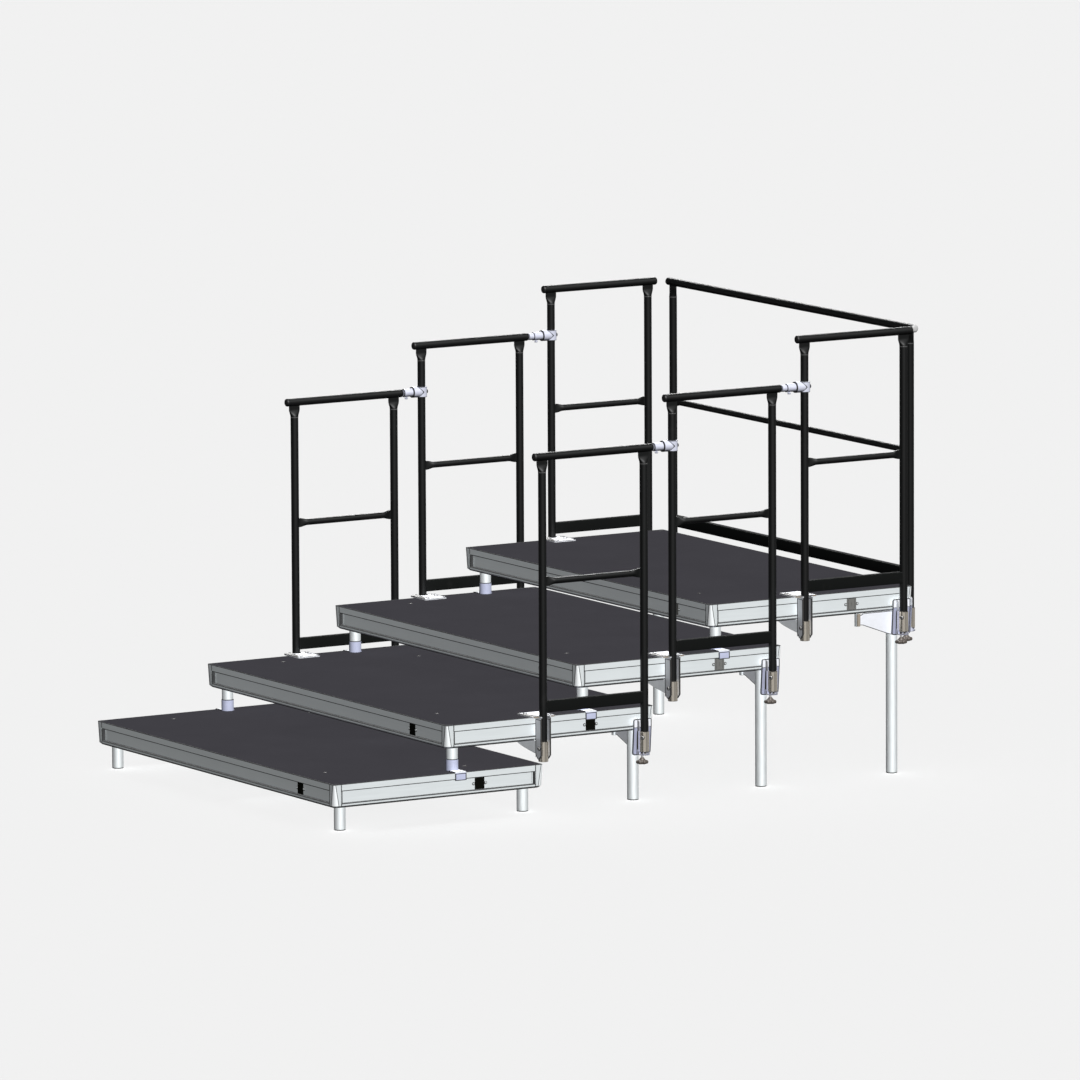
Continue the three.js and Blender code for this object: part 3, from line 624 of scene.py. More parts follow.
# ================================================================ guard rails
def stadium(w, t, n):
    """Flattened tube section: n points, width w along u, thickness t along v."""
    s, r = (w - t) / 2, t / 2
    out = []
    for k in range(n):
        a = 2 * PI * k / n
        c, q = math.cos(a), math.sin(a)
        # even spread: round ends, straight flanks
        u = s * max(-1, min(1, 1.35 * c)) + r * c
        v = r * (1 if q > 0 else -1) * min(1, abs(q) * 1.9) if abs(q) > 1e-9 else 0
        out.append((u, v))
    return out


def crimp(radius, w, t, f, n):
    flat = stadium(w, t, n)
    out = []
    for k in range(n):
        a = 2 * PI * k / n
        u = radius * math.cos(a) * (1 - f) + flat[k][0] * f
        v = radius * math.sin(a) * (1 - f) + flat[k][1] * f
        out.append((u, v))
    return out


def ease(x):
    x = max(0.0, min(1.0, x))
    return x * x * (3 - 2 * x)


def rail_panel(name, node, span, body, M, caps=("cap", "cap")):
    """Guard-rail panel: first post at y = 0, second at y = span, z from the deck top."""
    n = 40
    under = RAIL_Z - POST_R
    first = None
    for k, y in enumerate((0, span)):
        zs = [(POST_BOTTOM, 0), (POST_BOTTOM + 2, 0), (under - 48, 0)]
        zs += [(under - 48 + 44 * j / 14, ease(j / 11)) for j in range(1, 15)]
        zs += [(under + 4, 1)]
        rings = [[(v, u, z) for u, v in crimp(POST_R, 51, 6.2, f, n)] for z, f in zs]
        ob = emit(f"{name}_post_{k + 1}", loft(rings), MAT["rail"], body, M @ T(0, y, 0), smooth=40)
        first = first or ob
    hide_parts(node)
    z = under - 48
    welds = [moved(lathe([(POST_R - 0.6, z - 1.2), (POST_R + 0.25, z - 0.9), (POST_R + 0.25, z + 0.9), (POST_R - 0.6, z + 1.2)], 40, closed=True),
                   T(0, y, 0)) for y in (0, span)]
    emit(f"{name}_post_welds", join(*welds), MAT["weld"], body, M)
    # middle rail, flattened upright at its ends
    m = 36
    ys = [(POST_R - 3, 1), (POST_R + 4, 1)]
    ys += [(POST_R + 4 + 38 * j / 12, 1 - ease(j / 12)) for j in range(1, 13)]
    ys = ys + [(span - y, f) for y, f in reversed(ys)]
    rings = [[(v, y, MID_Z + u) for u, v in crimp(MID_R, 40, 5.0, f, m)] for y, f in ys]
    emit(f"{name}_middle_rail", loft(rings), MAT["rail"], body, M, smooth=40)
    # top rail and its end caps
    e = OVERHANG
    top = lathe([(POST_R - 2.6, -e + 9), (POST_R - 0.4, -e + 9), (POST_R, -e + 9.4), (POST_R, span + e - 9.4), (POST_R - 0.4, span + e - 9),
                 (POST_R - 2.6, span + e - 9)], 48, closed=True)
    emit(f"{name}_top_rail", moved(top, T(0, 0, RAIL_Z) @ R(-90, "X")), MAT["rail"], body, M)
    for k, (y, s) in enumerate(((-e, 1), (span + e, -1))):
        prof = [(0, 0), (POST_R - 9, 0.15), (POST_R - 5, 1.0), (POST_R - 2.2, 2.8), (POST_R - 0.7, 5.2), (POST_R - 0.1, 7.6),
                (POST_R, 8.8), (POST_R - 2.8, 8.8), (POST_R - 2.8, 24), (0, 24)]
        cap = lathe(prof, 40)
        moved(cap, T(0, y, RAIL_Z) @ R(-90 * s, "X"))
        emit(f"{name}_end_cap_{k + 1}", cap, MAT[caps[k]], body, M)
    # toe board
    h = TOE_T / 2
    toe = prism(rounded([(-h, TOE_Z0), (h, TOE_Z0), (h, TOE_Z1), (-h, TOE_Z1)], 4, 6), POST_R - 5, span - POST_R + 5, "XZ")
    emit(f"{name}_toe_board", toe, MAT["toe"], body, M)


SPAN = POST_T[1] - POST_T[0]
for i in (1, 2, 3):
    for sx, hand in ((-1, "left"), (1, "right")):
        n = i + 1
        rail_panel(f"guard_{hand}_{n}", f"rail_{hand}_{n}", SPAN, f"rail_{hand}_{n}",
                   T(sx * (DECK_L / 2 + POST_OUT), DECK_FRONT[i] + POST_T[0], DECK_TOP[i]))
BACK = T(0, DECK_FRONT[3] + DECK_W, DECK_TOP[3])
rail_panel("guard_back", "rail_back", 2 * BACK_POST_X, "rail_back", BACK @ T(BACK_POST_X, POST_OUT, 0) @ R(90, "Z"),
           caps=("cap_grey", "cap_grey"))


# =================================================================== brackets
def socket(name, M, top=SOCKET_TOP, bottom=SOCKET_BOTTOM):
    s = lathe([(SOCKET_BORE + 0.1, top - 1), (SOCKET_BORE + 0.6, top), (SOCKET_R - 0.8, top), (SOCKET_R, top - 0.8), (SOCKET_R, bottom + 0.8),
               (SOCKET_R - 0.8, bottom), (SOCKET_BORE + 0.1, bottom)], 48, closed=True)
    return emit(name, moved(s, T(POST_OUT, 0, 0)), MAT["nickel"], "riser", M)


def cross_screw(name, M, r=9.5, h=5.0):
    """Round-headed screw with a cross recess, on its washer, standing on z = 0 of M."""
    washer = lathe([(0, 0), (r + 1.6, 0), (r + 1.6, 1.2), (r + 1.2, 1.5), (0, 1.5)], 32)
    emit(name + "_washer", washer, MAT["dark"], "riser", M)
    arm, tip = 1.7, r * 0.78
    cross = [(arm, arm), (tip, arm), (tip, -arm), (arm, -arm), (arm, -tip), (-arm, -tip), (-arm, -arm), (-tip, -arm),
             (-tip, arm), (-arm, arm), (-arm, tip), (arm, tip)]
    head = lathe([(0, 1.5), (r, 1.5), (r, 1.5 + h * 0.5), (r - 1.6, 1.5 + h * 0.85), (0, 1.5 + h * 0.85)], 32)
    emit(name, head, MAT["screw"], "riser", M, bevel=0.3)
    face = prism(circle(r - 1.8, 32), 1.5 + h * 0.85, 1.5 + h, holes=[cross])
    emit(name + "_face", face, MAT["screw"], "riser", M)
    # the cross recess's floor in near-black: painted shade in the recess
    floor_ = prism([(u * 0.99, v * 0.99) for u, v in cross], 1.5 + h * 0.85, 1.5 + h * 0.88)
    emit(name + "_recess", floor_, MAT["dark"], "riser", M)


def sheet_rings(outline, faces, levels):
    """Rings of a folded plate: outline (t, z) convex, faces(z) gives its two n values."""
    def span(z):
        ts = []
        for k in range(len(outline)):
            (t0, z0), (t1, z1) = outline[k], outline[(k + 1) % len(outline)]
            if min(z0, z1) - 1e-6 <= z <= max(z0, z1) + 1e-6:
                ts += [t0, t1] if abs(z1 - z0) < 1e-6 else [t0 + (t1 - t0) * (z - z0) / (z1 - z0)]
        return min(ts), max(ts)
    rings = []
    for z in levels:
        t0, t1 = span(z)
        a, b = faces(z)
        rings.append([(a, t0, z), (b, t0, z), (b, t1, z), (a, t1, z)])
    return rings


def rear_bracket(name, node, side, M, short=False, lit_copies=False):
    """n (x) out from the deck face, t (y) along it; side sets the arm's side."""
    S = M @ Matrix.Diagonal((1, side, 1, 1))
    def faces(z):
        f = 0 if z > -86 else (-86 - z) / 118
        return 0.5 - 10 * f, 5.5 - 10 * f
    outline = rounded([(PLATE_T0, -204), (PLATE_T1, -204), (PLATE_T1, -50), (PLATE_T0, -50)], [12, 15, 8, 8], 8)
    zs = sorted(set([round(z, 3) for _, z in outline]))
    upper = [-86.0] + [z for z in zs if z > -86]
    lower = [z for z in zs if z < -86] + [-86.0]
    emit(name + "_plate", loft(sheet_rings(outline, faces, upper)), MAT["zinc"], "riser", S, replaces=[node])
    # the leaning lower part in the darker zinc copy: painted shade
    emit(name + "_plate_lower", loft(sheet_rings(outline, faces, lower)), MAT["zinc_painted_shade"], "riser", S)
    rim_ = []
    for k in range(len(outline)):
        (ta, za), (tb, zb) = outline[k], outline[(k + 1) % len(outline)]
        rim_.append((ta, za))
        if (za + 86) * (zb + 86) < 0:
            f = (-86 - za) / (zb - za)
            rim_.append((ta + (tb - ta) * f, -86.0))
    inner = inset(rim_, 4.2)
    loops = [[(faces(z)[1] + dn, t, z) for t, z in pts] for pts, dn in ((rim_, -0.4), (rim_, 0.15), (inner, 0.15), (inner, -0.4))]
    emit(name + "_plate_edge", loft(loops, cap=False, closed=True), MAT["seam"], "riser", S)
    hook = prism(rounded([(2, -71), (-12, -71), (-12, -76), (2, -76)], [0, 1.5, 1.5, 0], 3), -35, 12, "XZ")
    emit(name + "_hook", hook, MAT["zinc"], "riser", S)
    # bottom flange with the clamp screw's hole, and the seat of the socket on it
    fl = [(-8, -24), (27, -24), (44.5, -9), (44.5, 9), (27, 24), (-8, 24)]
    flange = prism(rounded(fl, [0, 3, 4, 4, 3, 0], 4), -200, -196, holes=[circle(5.6, 20, KNOB_N, 0)])
    emit(name + "_flange", flange, MAT["zinc_painted_shade"], "riser", S, bevel=0.4)
    seat = lathe([(12, -196), (SOCKET_R - 3, -196), (SOCKET_R - 4.5, -193), (SOCKET_R - 4.5, -190), (SOCKET_R - 0.5, -186), (12, -186)], 40, closed=True)
    emit(name + "_seat", moved(seat, T(POST_OUT, 0, 0)), MAT["cheek"], "riser", S)
    for k, (n_, t_) in enumerate(((36, -12), (40, 2), (31, 17))):
        nut = lathe([(0, -196), (4.4, -196), (4.4, -190.5), (3.6, -189.8), (0, -189.8)], 6, start=0.3 * k)
        emit(f"{name}_seat_nut_{k + 1}", moved(nut, T(n_, t_, 0)), MAT["tee"], "riser", S, bevel=0.3)
    socket(name + "_socket", S)
    # cheeks beside the socket, with a bent tab at the top and a foot tab at the bottom
    # the top deck's and the back brackets take lighter colours for their cheeks and tabs, the lower ones dark colours:
    # painted light and shade on the same metal
    for k, t in enumerate((-24, 20.5)):
        cheek = rounded([(-1, -196), (8, -196), (9.5, -180), (9.5, -102), (3, -96), (3, -104)], [0, 2, 3, 3, 2, 0], 4)
        ch = prism(cheek, t, t + 3.5, "XZ")
        emit(f"{name}_cheek_{k + 1}", ch, MAT["tee" if lit_copies else "cheek"], "riser", S, bevel=0.4)
        lines_ = band(cheek, 3.0, *((t - 0.12, t + 0.3) if k == 0 else (t + 3.2, t + 3.62)), plane="XZ", du=3.6)
        emit(f"{name}_cheek_edge_{k + 1}", lines_, MAT["seam"], "riser", S)
        tab = prism(rounded([(5.5, -99), (21, -99), (19, -58), (5.5, -54)], [0, 1, 6, 0], 4), t, t + 3.5, "XZ")
        emit(f"{name}_cheek_tab_{k + 1}", tab, MAT["zinc" if lit_copies else "tab"], "riser", S, bevel=0.3)
        foot = prism(rounded([(-2, -200), (24, -200), (20, -183), (8, -178), (-2, -178)], [0, 4, 6, 3, 0], 4), *((t - 1.5, t) if k == 0 else (t + 3.5, t + 5)), plane="XZ")
        emit(f"{name}_foot_tab_{k + 1}", foot, MAT["tee"], "riser", S, bevel=0.3)
    a = math.radians(-55)
    cross_screw(name + "_cross_screw", S @ T(POST_OUT + 19.5 * math.cos(a), 19.5 * math.sin(a), -125.5) @ R(-55, "Z") @ R(90, "Y"), 7.6, 5)
    h = ARM_T / 2
    if short:
        shape = rounded([(2, -103), (-24, -103), (-24, -190), (-16, -204), (-8, -204)], [0, 3, 4, 4, 2], 5)
    else:
        shape = rounded([(2, -103), (-226, -102.5), (-238, -109), (-ARM_REACH, -109), (-ARM_REACH, -150), (-229, -153),
                         (-104, -199), (-84, -204.5), (-8, -204.5)], [0, 2, 2, 0, 0, 4, 10, 8, 0], 4)
    arm = prism(shape, ARM_OFF - h, ARM_OFF + h, "XZ")
    for k, (a, b) in enumerate(((ARM_OFF - h - 0.12, ARM_OFF - h + 0.3), (ARM_OFF + h - 0.3, ARM_OFF + h + 0.12))):
        emit(f"{name}_arm_edge_{k + 1}", band(shape, 2.6, a, b, "XZ", du=4.0), MAT["seam"], "riser", S)
    emit(name + "_arm", arm, MAT["zinc"], "riser", S, bevel=0.4)
    if not short:
        foot = prism(rounded([(-10.5, -8.5), (9.5, -8.5), (9.5, 8.5), (-10.5, 8.5)], 2.0, 3), -156, -101)
        emit(name + "_foot", moved(foot, T(-ARM_REACH, ARM_OFF, 0)), MAT["foot"], "riser", S, bevel=1.0)
        pad = prism(rounded([(-6.5, -155), (8.5, -155), (8.5, -102), (-6.5, -102)], 1.0, 3), 8.6, 9.6, "XZ")
        emit(name + "_foot_pad", moved(pad, T(-ARM_REACH, ARM_OFF, 0)), MAT["tan"], "riser", S)
        gap = prism([(-10, -154.5), (-6.8, -154.5), (-6.8, -102.5), (-10, -102.5)], 8.55, 9.0, "XZ")
        emit(name + "_foot_seam", moved(gap, T(-ARM_REACH, ARM_OFF, 0)), MAT["cheek"], "riser", S)
        tip = lathe([(0, -101), (7, -101), (7, -99.4), (10, -98.9), (10, -98.4), (0, -98.4)], 28)
        emit(name + "_foot_tip", moved(tip, T(-ARM_REACH, ARM_OFF, 0)), MAT["rubber"], "riser", S)


def front_bracket(name, node, side, M):
    S = M @ Matrix.Diagonal((1, side, 1, 1))
    notch = [(POST_OUT + 17.6 * math.cos(-PI / 2 - PI * k / 14), 17.6 * math.sin(-PI / 2 - PI * k / 14)) for k in range(15)]
    pl = rounded([(-98, 58), (-98, -58), (31.2, -58), (31.2, -26), (46, -26), (46, -17.6)], [10, 10, 7, 2, 2, 0], 5) + notch
    pl += rounded([(46, 17.6), (46, 26), (31.2, 26), (31.2, 58), (-98, 58), (-98, -58)], [0, 2, 2, 7, 10, 10], 5)[:1 + 6 * 3]
    plate = prism(pl, 0.3, 6)
    emit(name + "_top_plate_edge", band(pl, 5.0, 5.7, 6.12, du=6.0), MAT["seam"], "riser", S)
    emit(name + "_top_plate", plate, MAT["zinc"], "riser", S, bevel=0.4, replaces=[node])
    for k, (t0, t1) in enumerate(((-51, -26), (26, 51))):
        emit(f"{name}_plate_edge_{k + 1}", block(31.25, 32, t0, t1, 0.5, 5.8), MAT["tan"], "riser", S)
    for k, (x, y) in enumerate(((-69.5, -31), (-38, 30), (-14, -36), (4, 40))):
        ring = lathe([(5.6, 6.05), (10.5, 6.05), (10.2, 7.7), (5.9, 7.7)], 28, closed=True)
        emit(f"{name}_plate_washer_{k + 1}", moved(ring, T(x, y, 0)), MAT["cheek"], "riser", S)
        s = lathe([(0, 6.05), (5.5, 6.05), (5.2, 8.0), (3.5, 8.8), (0, 8.9)], 28)
        emit(f"{name}_plate_screw_{k + 1}", moved(s, T(x, y, 0)), MAT["zinc"], "riser", S)
    lip = prism(rounded([(-93, -57), (29, -57), (29, -16), (-60, -38)], [3, 3, 3, 3], 3), 6.05, 7.2)
    emit(name + "_plate_lip", lip, MAT["plate_lip"], "riser", S, bevel=0.3)
    web = prism(rounded([(-24, -168), (24, -168), (24, 1), (-24, 1)], 1.0, 3), 0.5, 4.5, "YZ")
    emit(name + "_web", web, MAT["zinc"], "riser", S, bevel=0.4)
    for k, t in enumerate((-24, 20.5)):
        wing = prism(rounded([(1, 0), (1, -156), (17, -174), (28, -175.5), (46.2, -158), (46.2, 0)], [0, 3, 4, 4, 3, 0], 4), t, t + 3.5, "XZ")
        side_ = rounded([(1, -7), (1, -156), (17, -174), (28, -175.5), (46.2, -158), (46.2, -7)], [0, 3, 4, 4, 3, 0], 4)
        for q, (a, b) in enumerate(((t - 0.12, t + 0.3), (t + 3.2, t + 3.62))):
            emit(f"{name}_wing_line_{k + 1}_{q + 1}", band(side_, 3.0, a, b, "XZ", du=5.2), MAT["seam"], "riser", S)
        # wings in the darker zinc copy: painted shade
        emit(f"{name}_wing_{k + 1}", wing, MAT["wing"], "riser", S, bevel=0.4)
        emit(f"{name}_wing_edge_{k + 1}", block(46.25, 47, t + 0.2, t + 3.3, -157, 0), MAT["cheek"], "riser", S)
    socket(name + "_socket", S)
    cross_screw(name + "_cross_screw", S @ T(30, -24, -129) @ R(90, "X"), 8.0, 4)
    arm = prism(rounded([(2, -99), (-ARM_REACH, -99), (-ARM_REACH, -113), (-185, -113), (-140, -126), (-119, -132.5),
                         (-95, -137.5), (-63, -143.5), (-31, -148.5), (2, -153)], [0, 0, 0, 6, 8, 8, 8, 8, 8, 0], 3), -24, -20, "XZ")
    # the arm in the lighter zinc copy: painted light
    emit(name + "_arm", arm, MAT["arm"], "riser", S, bevel=0.4)
    boss = lathe([(0, -130), (BOSS_R - 1, -130), (BOSS_R, -129), (BOSS_R, -101), (BOSS_R - 1, -100), (6, -100), (6, -30), (BOSS_R - 1, -30),
                  (BOSS_R, -29), (BOSS_R, -17), (BOSS_R - 1, -16), (0, -16)], 32)
    emit(name + "_foot", moved(boss, T(-ARM_REACH, -22, 0)), MAT["zinc"], "riser", S)


def star_knob(name, node, body, M):
    """Six-lobed knob on its screw; origin on the screw's axis, z from the deck top."""
    n = 72
    def ring(z, big, deep):
        pts = []
        for k in range(n):
            a = 2 * PI * k / n
            r = big - deep * (0.5 - 0.5 * math.cos(6 * a)) ** 1.4
            pts.append((r * math.cos(a), r * math.sin(a), z))
        return pts
    rings = [ring(-240, KNOB_R - 5.5, 4.2), ring(-239, KNOB_R - 2.6, 5.4), ring(-237, KNOB_R - 0.8, 6.2), ring(-234.5, KNOB_R, 6.6),
             ring(-230.5, KNOB_R, 6.6), ring(-228, KNOB_R - 1.0, 6.2), ring(-226.2, KNOB_R - 3.4, 5.0), ring(-225, KNOB_R - 7, 3.4),
             ring(-224, KNOB_R - 11, 1.4), ring(-222, KNOB_R - 13, 0), ring(-217, KNOB_R - 17, 0), ring(-213.5, KNOB_R - 19.5, 0), ring(-213, KNOB_R - 20, 0)]
    emit(name, loft(rings), MAT["knob"], body, M, replaces=[node], smooth=50)
    hub = lathe([(0, -216), (5, -216), (5, -212), (4.8, -211), (4.8, -191), (4.2, -190), (0, -190)], 24)
    emit(name + "_screw", hub, MAT["screw"], body, M, bevel=0.2)


def tee(name, node, body, reach, M):
    """Rail connector on the upper post; the branch runs along -y to the lower rail.
    Sleeve and branch have one radius, so they meet in a mitre."""
    e, rad, n = TEE_H / 2, TEE_R, 48
    # sleeve: quads of the upright cylinder that lie outside the branch
    sleeve = lathe([(TEE_BORE, -e), (rad - 0.6, -e), (rad, -e + 0.6), (rad, e - 0.6), (rad - 0.6, e), (TEE_BORE, e)], n, closed=True)
    emit(name, sleeve, MAT["tee"], body, M, replaces=[node])
    # branch: a tube along -y whose inner end follows the sleeve's surface
    bm = new_bm()
    rb, ri = rad - 0.05, TEE_TUBE_R
    outer, ring0, mid, end = [], [], [], []
    for k in range(n):
        a = 2 * PI * k / n
        x, z = math.cos(a), math.sin(a)
        start = math.sqrt(max(0.0, (rad + 0.05) ** 2 - (rb * x) ** 2))
        outer.append((rb * x, -start, rb * z))
        ring0.append((rb * x, -45.6, rb * z))
        mid.append((rb * x, -49.2, rb * z))
        end.append(((rb - 0.8) * x, -50, (rb - 0.8) * z))
    inner = [(ri * math.cos(2 * PI * k / n), -50, ri * math.sin(2 * PI * k / n)) for k in range(n)]
    core = [((rad - 5) * math.cos(2 * PI * k / n), -math.sqrt((rad + 0.05) ** 2 - ((rad - 5) * math.cos(2 * PI * k / n)) ** 2), (rad - 5) * math.sin(2 * PI * k / n))
            for k in range(n)]
    deep = [(p[0], -46, p[2]) for p in core]
    branch = loft([deep, core, outer, ring0, mid, end, inner, [(p[0], -46, p[2]) for p in inner]], cap=False, closed=True)
    bm.free()
    # the branch's end faces and the band beside them in the dark seam colour: painted shade on the end turned from the
    # light
    emit(name + "_branch", branch, MAT["tee"], body, M, extra=[(MAT["seam"], lambda c, n_: c.y < -46.5)])
    rows = []
    for k in range(n):
        a = 2 * PI * k / n
        x, z = math.cos(a), math.sin(a)
        y = -math.sqrt(max(0.0, rad * rad - (rad * x) ** 2))
        q, w_ = rad + 0.4, rad - 0.6
        rows.append([(q * x, y * q / rad - 2.6, q * z), (q * x, y * q / rad + 1.4, q * z), (w_ * x, y * w_ / rad + 1.4, w_ * z), (w_ * x, y * w_ / rad - 2.6, w_ * z)])
    # dark band round the crease where the branch meets the sleeve: painted shade
    emit(name + "_mitre", loft(rows, cap=False, closed=True), MAT["seam"], body, M)
    for k, z in enumerate((-e, e - 2.0)):
        ring_ = lathe([(rad - 0.5, z), (rad + 0.12, z), (rad + 0.12, z + 2.0), (rad - 0.5, z + 2.0)], n, closed=True)
        emit(f"{name}_sleeve_edge_{k + 1}", ring_, MAT["seam"], body, M)
    turn = R(90, "X")
    tube = lathe([(SPIGOT_R + 0.1, 44), (ri - 0.1, 44), (ri - 0.1, TEE_TUBE_END - 3.4), (ri - 0.1, TEE_TUBE_END - 0.8), (ri - 0.9, TEE_TUBE_END), (SPIGOT_R + 0.1, TEE_TUBE_END)], 48, closed=True)
    emit(name + "_tube", moved(tube, turn), MAT["tee"], body, M, extra=[(MAT["seam"], lambda c, n_: c.y < -TEE_TUBE_END + 3.3)])
    sp = lathe([(0, 30), (SPIGOT_R, 30), (SPIGOT_R, reach - 2.4), (SPIGOT_R - 0.6, reach - 1.8), (0, reach - 1.8)], 40)
    emit(name + "_spigot", moved(sp, turn), MAT["tee"], body, M)
    bolt = lathe([(0, -27), (6.6, -27), (7.8, -26), (7.8, -19.5), (7, -18.6), (4, -18.6), (4, -15), (0, -15)], 6, start=PI / 6)
    emit(name + "_set_bolt", moved(bolt, T(0, -SET_BOLT_AT, 0)), MAT["tee"], body, M, bevel=0.4)
    plug = lathe([(0, 20), (8.4, 20), (8.4, 27.6), (7, 29), (3.4, 29), (3.4, 26), (0, 26)], 28)
    emit(name + "_plug", moved(plug, R(-90, "X")), MAT["dark"], body, M)


for i in (1, 2, 3):
    n, y0, h = i + 1, DECK_FRONT[i], DECK_TOP[i]
    for sx, hand in ((-1, "left"), (1, "right")):
        face = sx * DECK_L / 2
        turn = R(0 if sx > 0 else 180, "Z")
        front_bracket(f"bracket_front_{hand}_{n}", f"front_bracket_{hand}_{n}", sx, T(face, y0 + POST_T[0], h) @ turn)
        rear_bracket(f"bracket_rear_{hand}_{n}", f"rear_bracket_{hand}_{n}", sx, T(face, y0 + POST_T[1], h) @ turn, short=n == 4, lit_copies=n == 4)
        star_knob(f"knob_{hand}_{n}", f"clamp_knob_{hand}_{n}", f"clamp_knob_{hand}_{n}", T(face + sx * KNOB_N, y0 + POST_T[1], h))
        if n > 2:
            reach = y0 + POST_T[0] - (DECK_FRONT[i - 1] + POST_T[1] + OVERHANG)
            tee(f"connector_{hand}_{n}", f"rail_connector_{hand}_{n}", f"rail_connector_{hand}_{n}", reach,
                T(face + sx * POST_OUT, y0 + POST_T[0], h + RAIL_Z - 200))
for sx, hand in ((-1, "left"), (1, "right")):
    rear_bracket(f"bracket_back_{hand}", f"back_bracket_{hand}", -sx, BACK @ T(sx * BACK_POST_X, 0, 0) @ R(90, "Z"), lit_copies=True)
    star_knob(f"knob_back_{hand}", f"clamp_knob_back_{hand}", f"clamp_knob_back_{hand}", BACK @ T(sx * BACK_POST_X, KNOB_N, 0))


# ===================================================================== studio
scene = bpy.context.scene
scene.view_settings.view_transform = "Standard"
scene.view_settings.look = "None"

cam = bpy.data.cameras.new("camera")
cam.sensor_width = 36
cam.lens = 400.81
cam.clip_start, cam.clip_end = 1.0, 600.0
co = bpy.data.objects.new("camera", cam)
right = Vector((0.51596689, 0.85659494, -0.00482569))
up = Vector((-0.11964165, 0.0776417, 0.98977656))
back = Vector((0.84821227, -0.51011458, 0.14254498))
m = Matrix((right, up, back)).transposed().to_4x4()
m.translation = Vector((43.115951, -24.337295 - DEPTH / 2000, 8.215573))
co.matrix_world = m
scene.collection.objects.link(co)
scene.camera = co

floor_bm = prism([(-300000, -300000), (300000, -300000), (300000, 300000), (-300000, 300000)], -50, 0)
fme = bpy.data.meshes.new("floor")
bmesh.ops.transform(floor_bm, matrix=Matrix.Scale(0.001, 4), verts=floor_bm.verts)
floor_bm.to_mesh(fme)
floor_bm.free()
floor = bpy.data.objects.new("floor", fme)
scene.collection.objects.link(floor)
fm = bpy.data.materials.new("floor_pale")
fm.use_nodes = True
fb = fm.node_tree.nodes["Principled BSDF"]
fb.inputs["Base Color"].default_value = (0.506, 0.506, 0.506, 1)
fb.inputs["Roughness"].default_value = 1.0
fb.inputs["Specular IOR Level"].default_value = 0.0
fme.materials.append(fm)
floor.visible_diffuse = False
floor.visible_glossy = False


def sun(name, azimuth, elevation, strength, angle, shadow=True, colour=(1, 1, 1)):
    """Azimuth is measured from +X towards +Y; the light comes from there."""
    d = bpy.data.lights.new(name, "SUN")
    d.energy = strength
    d.angle = math.radians(angle)
    d.color = colour
    d.use_shadow = shadow
    o = bpy.data.objects.new(name, d)
    a, e = math.radians(azimuth), math.radians(elevation)
    back_ = Vector((math.cos(e) * math.cos(a), math.cos(e) * math.sin(a), math.sin(e)))
    o.rotation_mode = "QUATERNION"
    o.rotation_quaternion = back_.to_track_quat("Z", "Y")
    scene.collection.objects.link(o)
    return o


sun("key", -12.3, 44, 2.05 * PI, 12, shadow=False)
sun("rim_back", 150, 30, 0.5 * PI, 20, shadow=False)

w = bpy.data.worlds.new("studio")
scene.world = w
w.use_nodes = True
nt = w.node_tree
N, L = nt.nodes, nt.links
for node in list(N):
    N.remove(node)
out = N.new("ShaderNodeOutputWorld")
soft = N.new("ShaderNodeBackground")          # soft light from all round
cards = N.new("ShaderNodeBackground")         # upright light cards, seen only in glossy surfaces
seen = N.new("ShaderNodeBackground")          # pale backdrop
seen.inputs["Color"].default_value = srgb("f0f0f0")
tc = N.new("ShaderNodeTexCoord")
sep = N.new("ShaderNodeSeparateXYZ")
L.new(tc.outputs["Generated"], sep.inputs[0])
height = N.new("ShaderNodeMapRange")
height.interpolation_type = "SMOOTHSTEP"
height.inputs["From Min"].default_value = -0.4
height.inputs["From Max"].default_value = 0.4
height.inputs["To Min"].default_value = 0.04
height.inputs["To Max"].default_value = 0.08
L.new(sep.outputs["Z"], height.inputs["Value"])
L.new(height.outputs["Result"], soft.inputs["Strength"])
turn_ = N.new("ShaderNodeMath")
turn_.operation = "ARCTAN2"
L.new(sep.outputs["Y"], turn_.inputs[0])
L.new(sep.outputs["X"], turn_.inputs[1])
part_ = N.new("ShaderNodeMapRange")
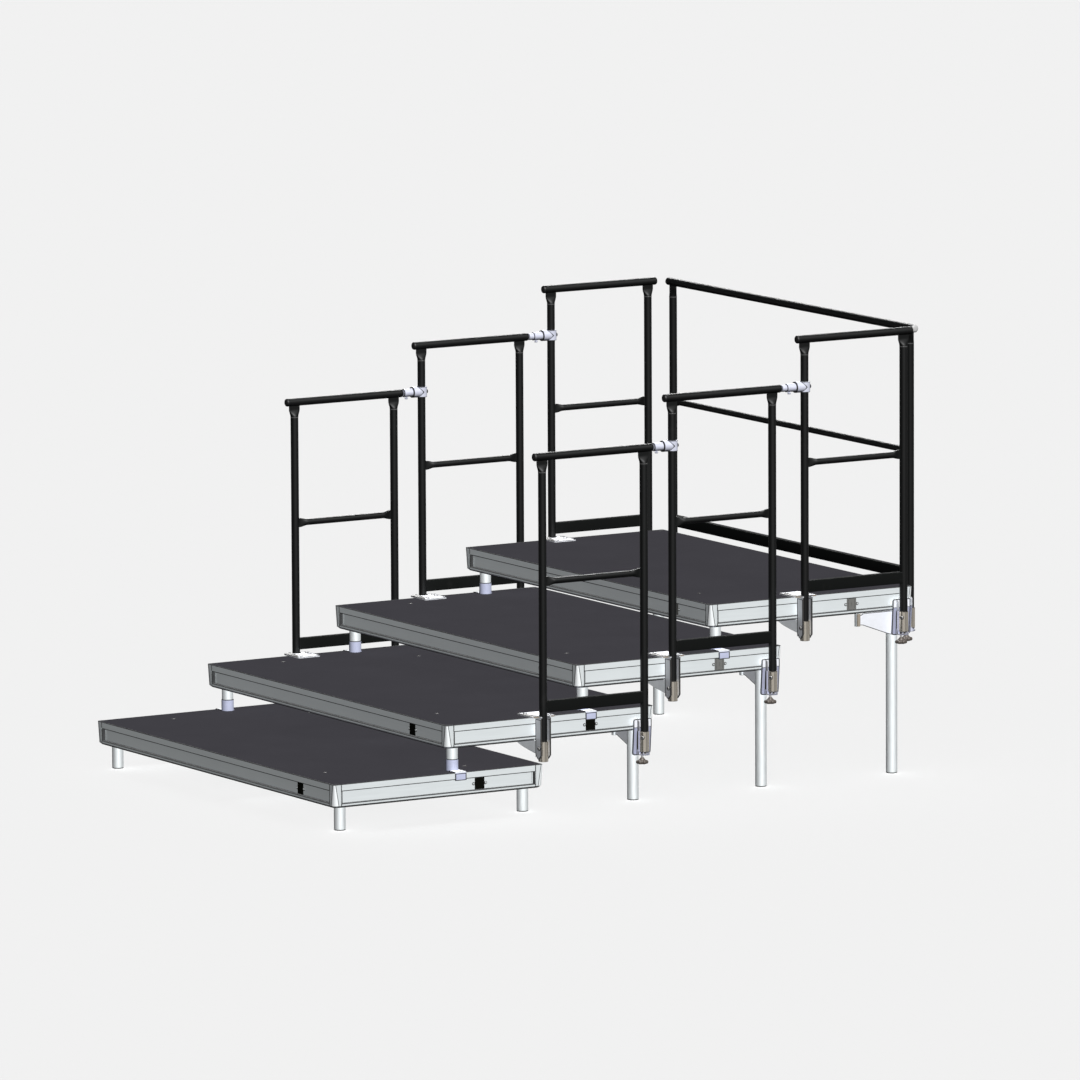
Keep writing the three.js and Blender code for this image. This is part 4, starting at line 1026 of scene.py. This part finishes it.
part_.inputs["From Min"].default_value = -PI
part_.inputs["From Max"].default_value = PI
L.new(turn_.outputs[0], part_.inputs["Value"])
ramp = N.new("ShaderNodeValToRGB")
L.new(part_.outputs["Result"], ramp.inputs["Fac"])
bands = [(-180, 0.22), (-128, 0.25), (-118, 0.05), (-66, 0.05), (-56, 0.46), (-6, 0.45), (6, 0.22), (36, 0.23), (50, 0.31), (130, 0.28), (158, 0.22)]
el = ramp.color_ramp.elements
while len(el) > 1:
    el.remove(el[-1])
for k, (deg_, v) in enumerate(bands):
    q = (deg_ + 180) / 360
    e_ = el[0] if k == 0 else el.new(q)
    e_.position = q
    e_.color = (v, v, v, 1)
L.new(ramp.outputs["Color"], cards.inputs["Color"])
# the cards stand low: they fill a narrow strip just under the horizon, the rest is dim
strip = []
for lo_, hi_ in ((-0.28, -0.21), (0.01, -0.07)):
    q_ = N.new("ShaderNodeMapRange")
    q_.interpolation_type = "SMOOTHSTEP"
    q_.inputs["From Min"].default_value = lo_
    q_.inputs["From Max"].default_value = hi_
    L.new(sep.outputs["Z"], q_.inputs["Value"])
    strip.append(q_.outputs["Result"])
both = N.new("ShaderNodeMath")
both.operation = "MULTIPLY"
L.new(strip[0], both.inputs[0])
L.new(strip[1], both.inputs[1])
level = N.new("ShaderNodeMapRange")
level.inputs["To Min"].default_value = 0.075
level.inputs["To Max"].default_value = 1.0
L.new(both.outputs[0], level.inputs["Value"])
L.new(level.outputs["Result"], cards.inputs["Strength"])
lp = N.new("ShaderNodeLightPath")
mix1 = N.new("ShaderNodeMixShader")
mix2 = N.new("ShaderNodeMixShader")
L.new(lp.outputs["Is Glossy Ray"], mix1.inputs["Fac"])
L.new(soft.outputs[0], mix1.inputs[1])
L.new(cards.outputs[0], mix1.inputs[2])
L.new(lp.outputs["Is Camera Ray"], mix2.inputs["Fac"])
L.new(mix1.outputs[0], mix2.inputs[1])
L.new(seen.outputs[0], mix2.inputs[2])
L.new(mix2.outputs[0], out.inputs["Surface"])
